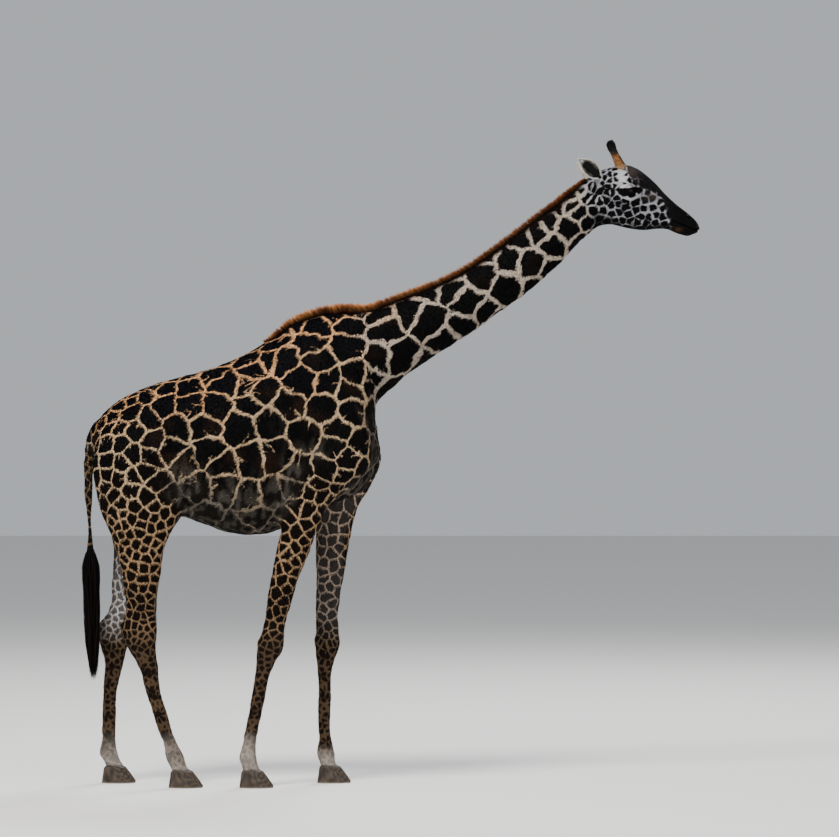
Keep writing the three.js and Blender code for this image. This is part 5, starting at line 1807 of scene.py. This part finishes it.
@dataclass
class Ears:
    """Two leaf-shaped cupped ears with a pale rim, painted shade inside the cup, and fringed with hair."""

    root: Triple = (1.234, 0.080, 3.564)
    tip: Triple = (1.106, 0.168, 3.666)
    opening: Triple = (0.4, 0.9, -0.12)
    cup: float = 0.022
    half_width: float = 0.051
    stem: float = 0.38
    widest: float = 0.48
    thick: float = 0.0055
    fringes: tuple[Fringe, ...] = (
        Fringe(1200, 0.011, 0.0018, 0.02, 0.84, 1.0, 0.0, 0.35, -0.12, srgb(204, 200, 194), 0.0),
        Fringe(260, 0.022, 0.0014, 0.25, 0.55, 0.85, 1.0, 0.75, -0.50, srgb(120, 114, 108), 0.2),
        Fringe(1500, 0.009, 0.0026, 0.02, 0.0, 0.85, -1.0, -0.22, 0.25, srgb(184, 176, 164), 0.4))
    rng: np.random.Generator = field(default_factory=lambda: np.random.default_rng(19))

    def axes(self, side: int) -> tuple[Array, Array, Array, Array, float]:
        """Root, the directions along, across and out of the cup, and the length."""
        root, tip = on_side(self.root, side), on_side(self.tip, side)
        along, opening = unit(tip - root), np.array(self.opening) * [1, side, 1]
        opening = unit(opening - along * (opening @ along))
        return root, along, np.cross(along, opening), opening, np.linalg.norm(tip - root)

    def at(self, side: int, t: Array, x: Array, above: Array) -> Array:
        """Points of the ear: t along it, x across from -1 to 1, and how high above its middle
        sheet, as a share of its thickness there, which is least at the rim and the tip. The width
        swells and narrows to a point, and the edges curl towards the opening."""
        root, along, across, opening, length = self.axes(side)
        swell = np.sin(math.pi * np.clip(0.5 * t / self.widest, -0.2, 1))
        width = self.half_width * (self.stem + (1 - self.stem) * swell)
        root_share = smoothstep(-0.12, 0.24, t)
        width = width * np.sqrt(np.maximum(0.006, 1 - np.abs(t) ** 4)) * (0.42 + 0.58 * root_share)
        curl = 1 - 0.05 * np.abs(x) ** 3 * (1 - t)
        above = above * self.thick * (1 - 0.35 * t) * np.sqrt(np.clip(1 - x ** 2, 0.03, 1))
        rise = self.cup * (1 - 0.6 * t) * (1.15 * x * x - 0.10) * root_share + above
        rise = rise + 0.0016 * np.sin(x * 9.0) * smoothstep(0.1, 0.5, t) * smoothstep(1.0, 0.6, np.abs(x))
        return (root + (t * length)[..., None] * along + (width * x * curl)[..., None] * across
                + rise[..., None] * opening)

    def sheet(self, side: int) -> Shape:
        """The ear as a closed sheet: rings of points go across its inside and back along its outside."""
        rows, half = 48, 30
        t = np.linspace(-0.10, 1.0, rows)[:, None] * np.ones(2 * half)
        across = np.sin(np.linspace(-math.pi / 2, math.pi / 2, half))
        x = np.concatenate([across, across[::-1]])[None] * np.ones((rows, 1))
        above = np.repeat([0.5, -0.5], half)[None] * np.ones((rows, 1))
        grid = self.at(side, t, x, above)
        # The inside of the cup is painted near black: painted shade.
        inside = (above > 0) * smoothstep(0.90, 0.66, np.abs(x)) * smoothstep(0.93, 0.76, t)
        colours = blend(srgb(196, 192, 188), srgb(7, 6, 6), inside.ravel())
        spots = smoothstep(0.1, 0.4, Ripple(0.05, 72).at(grid.reshape(-1, 3))) * (above.ravel() < 0)
        return tube(grid, blend(colours, srgb(120, 96, 74), 0.5 * spots * (t.ravel() < 0.7)))

    def fringe(self, side: int) -> Shape:
        """Hair along the rim, fine hair inside and short hair on the back."""
        rng, parts = self.rng, []
        _, along, across, opening, _ = self.axes(side)
        for kind in self.fringes:
            count = kind.count
            t = rng.uniform(kind.start, 0.99, count)
            x = rng.choice([-1.0, 1.0], count) * rng.uniform(kind.low, kind.high, count)
            base = self.at(side, t, x, 0.42 * (kind.face or rng.choice([-1.0, 1.0], count)))
            grow = along + kind.lift * opening + across * (kind.spread * np.sign(x) * (1 - t))[:, None]
            grow = unit(grow + 0.18 * rng.normal(size=(count, 3)))
            length = kind.length * rng.uniform(0.55, 1.1, count)
            width = kind.width * rng.uniform(0.7, 1.3, (count, 1))
            tone = kind.tone * rng.uniform(0.8, 1.05, (count, 1))
            parts.append(hairs(base, grow, length, 0.25 * along, ((0.0, 1.0), (0.5, 0.75), (1.0, 0.0)), width,
                               np.tile(across, (count, 1)), tone,
                               np.column_stack([0.05 * x + kind.shift, 0.17 * t])))
        return joined(parts)

    def build(self, skin: Material, hair: Material) -> None:
        """Makes both ears."""
        for side, name in SIDES:
            place(f"ear_sheet_{name}", new_mesh("ear", self.sheet(side)), skin, Slot.EAR, f"ear_{name}")
            place(f"ear_hair_{name}", new_mesh("ear_hair", self.fringe(side)), hair, Slot.EAR)


@dataclass
class Eyes:
    """Two dark wet eyes with a low oval pupil, and their lashes."""

    lids: Lids
    lash: Table = ((0.0, 1.0), (0.35, 0.9), (0.7, 0.6), (1.0, 0.0))
    rng: np.random.Generator = field(default_factory=lambda: np.random.default_rng(4))

    def ball(self, side: int) -> Shape:
        """The eyeball: a ball whose cornea stands a millimetre proud, darkest at the pupil."""
        rings, columns = 56, 64
        polar = np.linspace(0.02, math.pi - 0.02, rings)[:, None] * np.ones(columns)
        turn = np.linspace(0, 2 * math.pi, columns, endpoint=False)[None] * np.ones((rings, 1))
        radius = EYE_RADIUS - 0.0004 + 0.0010 * smoothstep(0.75, 0.35, polar)
        local = np.stack([np.sin(polar) * np.cos(turn), np.sin(polar) * np.sin(turn), np.cos(polar)], axis=-1)
        grid = EYE_CENTRE * [1, side, 1] + (radius[..., None] * local) @ self.lids.axes(side)
        (front, rise, _), polar = local.reshape(-1, 3).T, polar.ravel()
        pupil = smoothstep(1.15, 0.85, np.hypot(front / 0.30, rise / 0.16))
        iris = smoothstep(0.62, 0.54, polar)
        streak = (0.5 + 0.5 * np.sin(turn.ravel() * 32)) * smoothstep(0.25, 0.5, polar)
        colours = blend(srgb(11, 8, 7), blend(srgb(14, 8, 5), srgb(28, 16, 10), streak), iris)
        return tube(grid, blend(colours, srgb(2, 2, 3), pupil * iris))

    def lashes(self, side: int) -> Shape:
        """Long lashes on the upper lid and short ones below, curved up and outwards."""
        lids, rng, axes, parts = self.lids, self.rng, self.lids.axes(side), []
        for above, count, size, lean, curl in ((1, 150, 0.019, -0.05, 0.35), (-1, 70, 0.010, -0.5, -0.1)):
            k = rng.uniform(-0.96, 0.96, count)
            front = k * lids.half_length
            rise = above * (lids.rim(front, above > 0) + 0.0012)
            out = np.sqrt((EYE_RADIUS + lids.thickness) ** 2 - front ** 2 - rise ** 2) - 0.0008
            base = EYE_CENTRE * [1, side, 1] + np.column_stack([front, rise, out]) @ axes
            grow = np.column_stack([0.75 * k + 0.25, np.full(count, lean), np.ones(count)])
            grow = unit(grow + 0.10 * rng.normal(size=(count, 3))) @ axes
            length = size * rng.uniform(0.65, 1.05, count)
            width = 0.0009 * rng.uniform(0.8, 1.3, (count, 1))
            facing, tones = (np.tile(row, (count, 1)) for row in (axes[0], srgb(14, 11, 11)))
            parts.append(hairs(base, grow, length, np.array([0.0, curl, -0.25]) @ axes, self.lash, width,
                               facing, tones, np.column_stack([front, rise])))
        return joined(parts)

    def build(self, wet: Material, hair: Material) -> None:
        """Makes both eyes and their lashes."""
        for side, name in SIDES:
            place(f"eyeball_{name}", new_mesh("eyeball", self.ball(side)), wet, Slot.EYE, f"eye_{name}")
            place(f"lashes_{name}", new_mesh("lashes", self.lashes(side)), hair, Slot.BLACK_HAIR)


@dataclass
class Hooves:
    """Eight claws: sloped walls with growth rings, pointed in front, cloven, with soft heels."""

    # Height, how far forward, half the depth and half the width, from the hairline down.
    rows: Table = ((0.0985, 0.000, 0.050, 0.0275), (0.0917, 0.002, 0.062, 0.029),
                   (0.080, 0.006, 0.068, 0.0305), (0.055, 0.014, 0.079, 0.033),
                   (0.030, 0.021, 0.090, 0.0350), (0.008, 0.027, 0.099, 0.036),
                   (0.0015, 0.0275, 0.0985, 0.0355), (0.0, 0.027, 0.097, 0.0345))

    def claw(self, node: str, outer_sign: int) -> Shape:
        """One claw: level rings whose outer side is full, whose cleft side is flat, and whose front
        runs to a point; fine rings of growth go round the wall."""
        middle = np.mean(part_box(node), axis=0)
        heights, *rows = np.array(self.rows)[::-1].T
        z = np.concatenate([[0.0, 0.0015], np.linspace(0.004, 0.094, 40), [0.0975, 0.0985]])[:, None]
        forward, deep, half = (np.interp(z, heights, row) for row in rows)
        turns = np.linspace(0, 2 * math.pi, 40, endpoint=False)
        front, out = np.cos(turns), np.sin(turns)
        narrow = 1 - 0.34 * smoothstep(0.15, 1.0, front) ** 1.4
        flat = np.where(out < 0, 0.86 + 0.10 * np.abs(front), 1.0)
        ring = 0.010 * np.sin(z * 2 * math.pi / 0.0105) * smoothstep(-0.5, 0.3, front)
        ring = 1 + ring * smoothstep(0.004, 0.012, z) * smoothstep(0.094, 0.085, z)
        x = middle[0] - 0.027 + forward + deep * front * ring * 0.995
        toe = smoothstep(0.3, 1.0, front) * 0.004
        y = middle[1] + outer_sign * (half * out * narrow * flat * ring - toe)
        grid = np.stack([x, y, z * np.ones(40)], axis=-1)
        streak = Ripple(0.012, 55).at(grid.reshape(-1, 3) * [1, 1, 0.15])
        colours = blend(srgb(36, 30, 26), srgb(74, 62, 51), np.clip(0.45 + 0.35 * streak, 0, 1))
        worn = smoothstep(0.012, 0.0, grid[..., 2].ravel())
        return tube(grid, blend(colours, srgb(128, 116, 100), 0.7 * worn))

    def build(self, material: Material) -> None:
        """Makes all eight."""
        for limb in Limb:
            for which, sign in (("outer", 1), ("inner", -1)):
                node = f"{limb.node}_{which}_claw"
                mesh = new_mesh("claw", self.claw(node, limb.side * sign))
                place(f"{node}_horn", mesh, material, Slot.HOOF, node)


# ------------------------------------------------------------------ studio and assembly


@dataclass
class Studio:
    """A plain pale floor, soft lights and the camera."""

    at: Triple = (0.173, -22.0, 2.0)
    turn: Triple = (math.radians(90.4), 0.0, 0.0)
    lens: float = 160.5
    aim: Triple = (0.0, 0.0, 1.9)
    floor_colour: Triple = (0.74, 0.73, 0.71)
    sky: tuple[float, float, float, float] = (0.86, 0.90, 0.95, 1.0)
    sky_strength: float = 0.55
    lamps: tuple = (
        ("key", (-5.0, -8.0, 13.0), 5.0, 3600.0, (1.0, 0.98, 0.95)),
        ("fill", (9.0, -11.0, 5.0), 7.0, 560.0, (0.95, 0.97, 1.0)),
        ("rim", (3.0, 9.0, 11.0), 5.0, 1400.0, (1.0, 1.0, 1.0)))

    def floor(self) -> None:
        """Adds the floor."""
        mesh = bpy.data.meshes.new("floor")
        mesh.from_pydata([(-60, -60, 0), (60, -60, 0), (60, 60, 0), (-60, 60, 0)], [], [(0, 1, 2, 3)])
        plane = bpy.data.objects.new("floor", mesh)
        bpy.context.scene.collection.objects.link(plane)
        mesh.materials.append(Graph("floor").finish(Base_Color=self.floor_colour, Roughness=0.9))

    def lights(self) -> None:
        """Adds the lights and a pale world."""
        for name, spot, size, power, colour in self.lamps:
            lamp = bpy.data.lights.new(name, "AREA")
            lamp.shape, lamp.size, lamp.energy, lamp.color = "DISK", size, power, colour
            light = bpy.data.objects.new(name, lamp)
            light.location = spot
            light.rotation_euler = (Vector(self.aim) - Vector(spot)).to_track_quat("-Z", "Y").to_euler()
            bpy.context.scene.collection.objects.link(light)
        world = bpy.data.worlds.new("studio")
        bpy.context.scene.world = world
        world.use_nodes = True
        background = next(n for n in world.node_tree.nodes if n.type == "BACKGROUND")
        background.inputs["Color"].default_value = self.sky
        background.inputs["Strength"].default_value = self.sky_strength

    def camera(self) -> None:
        """Adds the camera."""
        data = bpy.data.cameras.new("camera")
        data.lens, data.sensor_width = self.lens, 36.0
        data.clip_start, data.clip_end = 0.5, 200.0
        camera = bpy.data.objects.new("camera", data)
        camera.location, camera.rotation_euler = self.at, self.turn
        bpy.context.scene.collection.objects.link(camera)
        bpy.context.scene.camera = camera


def paint_skin(mesh: Mesh, f: Fields, markings: Markings) -> None:
    """Stores on the skin what its finish reads: seeds on the faces, the rest on the points."""
    paint = markings.paint(f)
    loops, starts = read_indices(mesh.loops, "vertex_index"), read_indices(mesh.polygons, "loop_start")
    sizes = np.diff(np.append(starts, len(loops)))
    centres = np.add.reduceat(paint.warped[loops], starts, axis=0) / sizes[:, None]
    seeds = markings.seeds[markings.nearest(centres)]
    for k in range(3):
        set_vector(mesh, f"seed_{k}", seeds[:, k], "FACE")
    set_vector(mesh, "warped", paint.warped, "POINT")
    for name in ("half", "spur", "reach", "bias"):
        set_number(mesh, name, getattr(paint, name))
    for name in ("line", "patch"):
        set_colour(mesh, name, getattr(paint, name))
    x, y, z = f.drawn
    nostril = np.exp(-(((x - 1.757) / 0.020) ** 2 + ((z - 3.336) / 0.014) ** 2)) * (y > 0.03)
    eye = np.exp(-(((x - EYE_DRAWN_X) / 0.020) ** 2 + ((z - EYE_CENTRE[2]) / 0.012) ** 2)) * (y > 0.07)
    set_number(mesh, "bare", np.clip(nostril + eye, 0, 1))


def main() -> None:
    """Builds the animal piece by piece, then the studio, and writes the sizes."""
    logging.basicConfig(level=logging.INFO, format="%(name)s: %(message)s")
    anatomy = Anatomy()
    skin = Skin(anatomy)
    mesh = skin.build()
    points, normals = read_points(mesh), read_points(mesh, "normal")
    f = anatomy.fields(points)
    markings = Markings(anatomy, points, normals)
    paint_skin(mesh, f, markings)
    legs = [limb.node for limb in Limb]
    place("skin", mesh, skin_material(), Slot.COAT, "trunk", "neck", "head", "jaw", "tail", *legs)
    hair = tinted_material("hair", HAIR)
    Coat(mesh, anatomy, markings, f.s).build(hair)
    Mane(anatomy).build(tinted_material("mane", HAIR))
    black_hair = tinted_material("black hair", HAIR)
    TailBrush(anatomy).build(black_hair)
    Horns().build(tinted_material("horn skin", BARE, grain=500), hair)
    Ears().build(tinted_material("ear", BARE, grain=700), hair)
    Eyes(skin.lids).build(tinted_material("eye", WET, depth=0.0, spread=0.02), black_hair)
    Hooves().build(tinted_material("hoof", HORNY, grain=260, stretch=(1, 1, 3), depth=0.0006))
    studio = Studio()
    studio.floor()
    studio.lights()
    studio.camera()


if __name__ == "__main__":
    main()
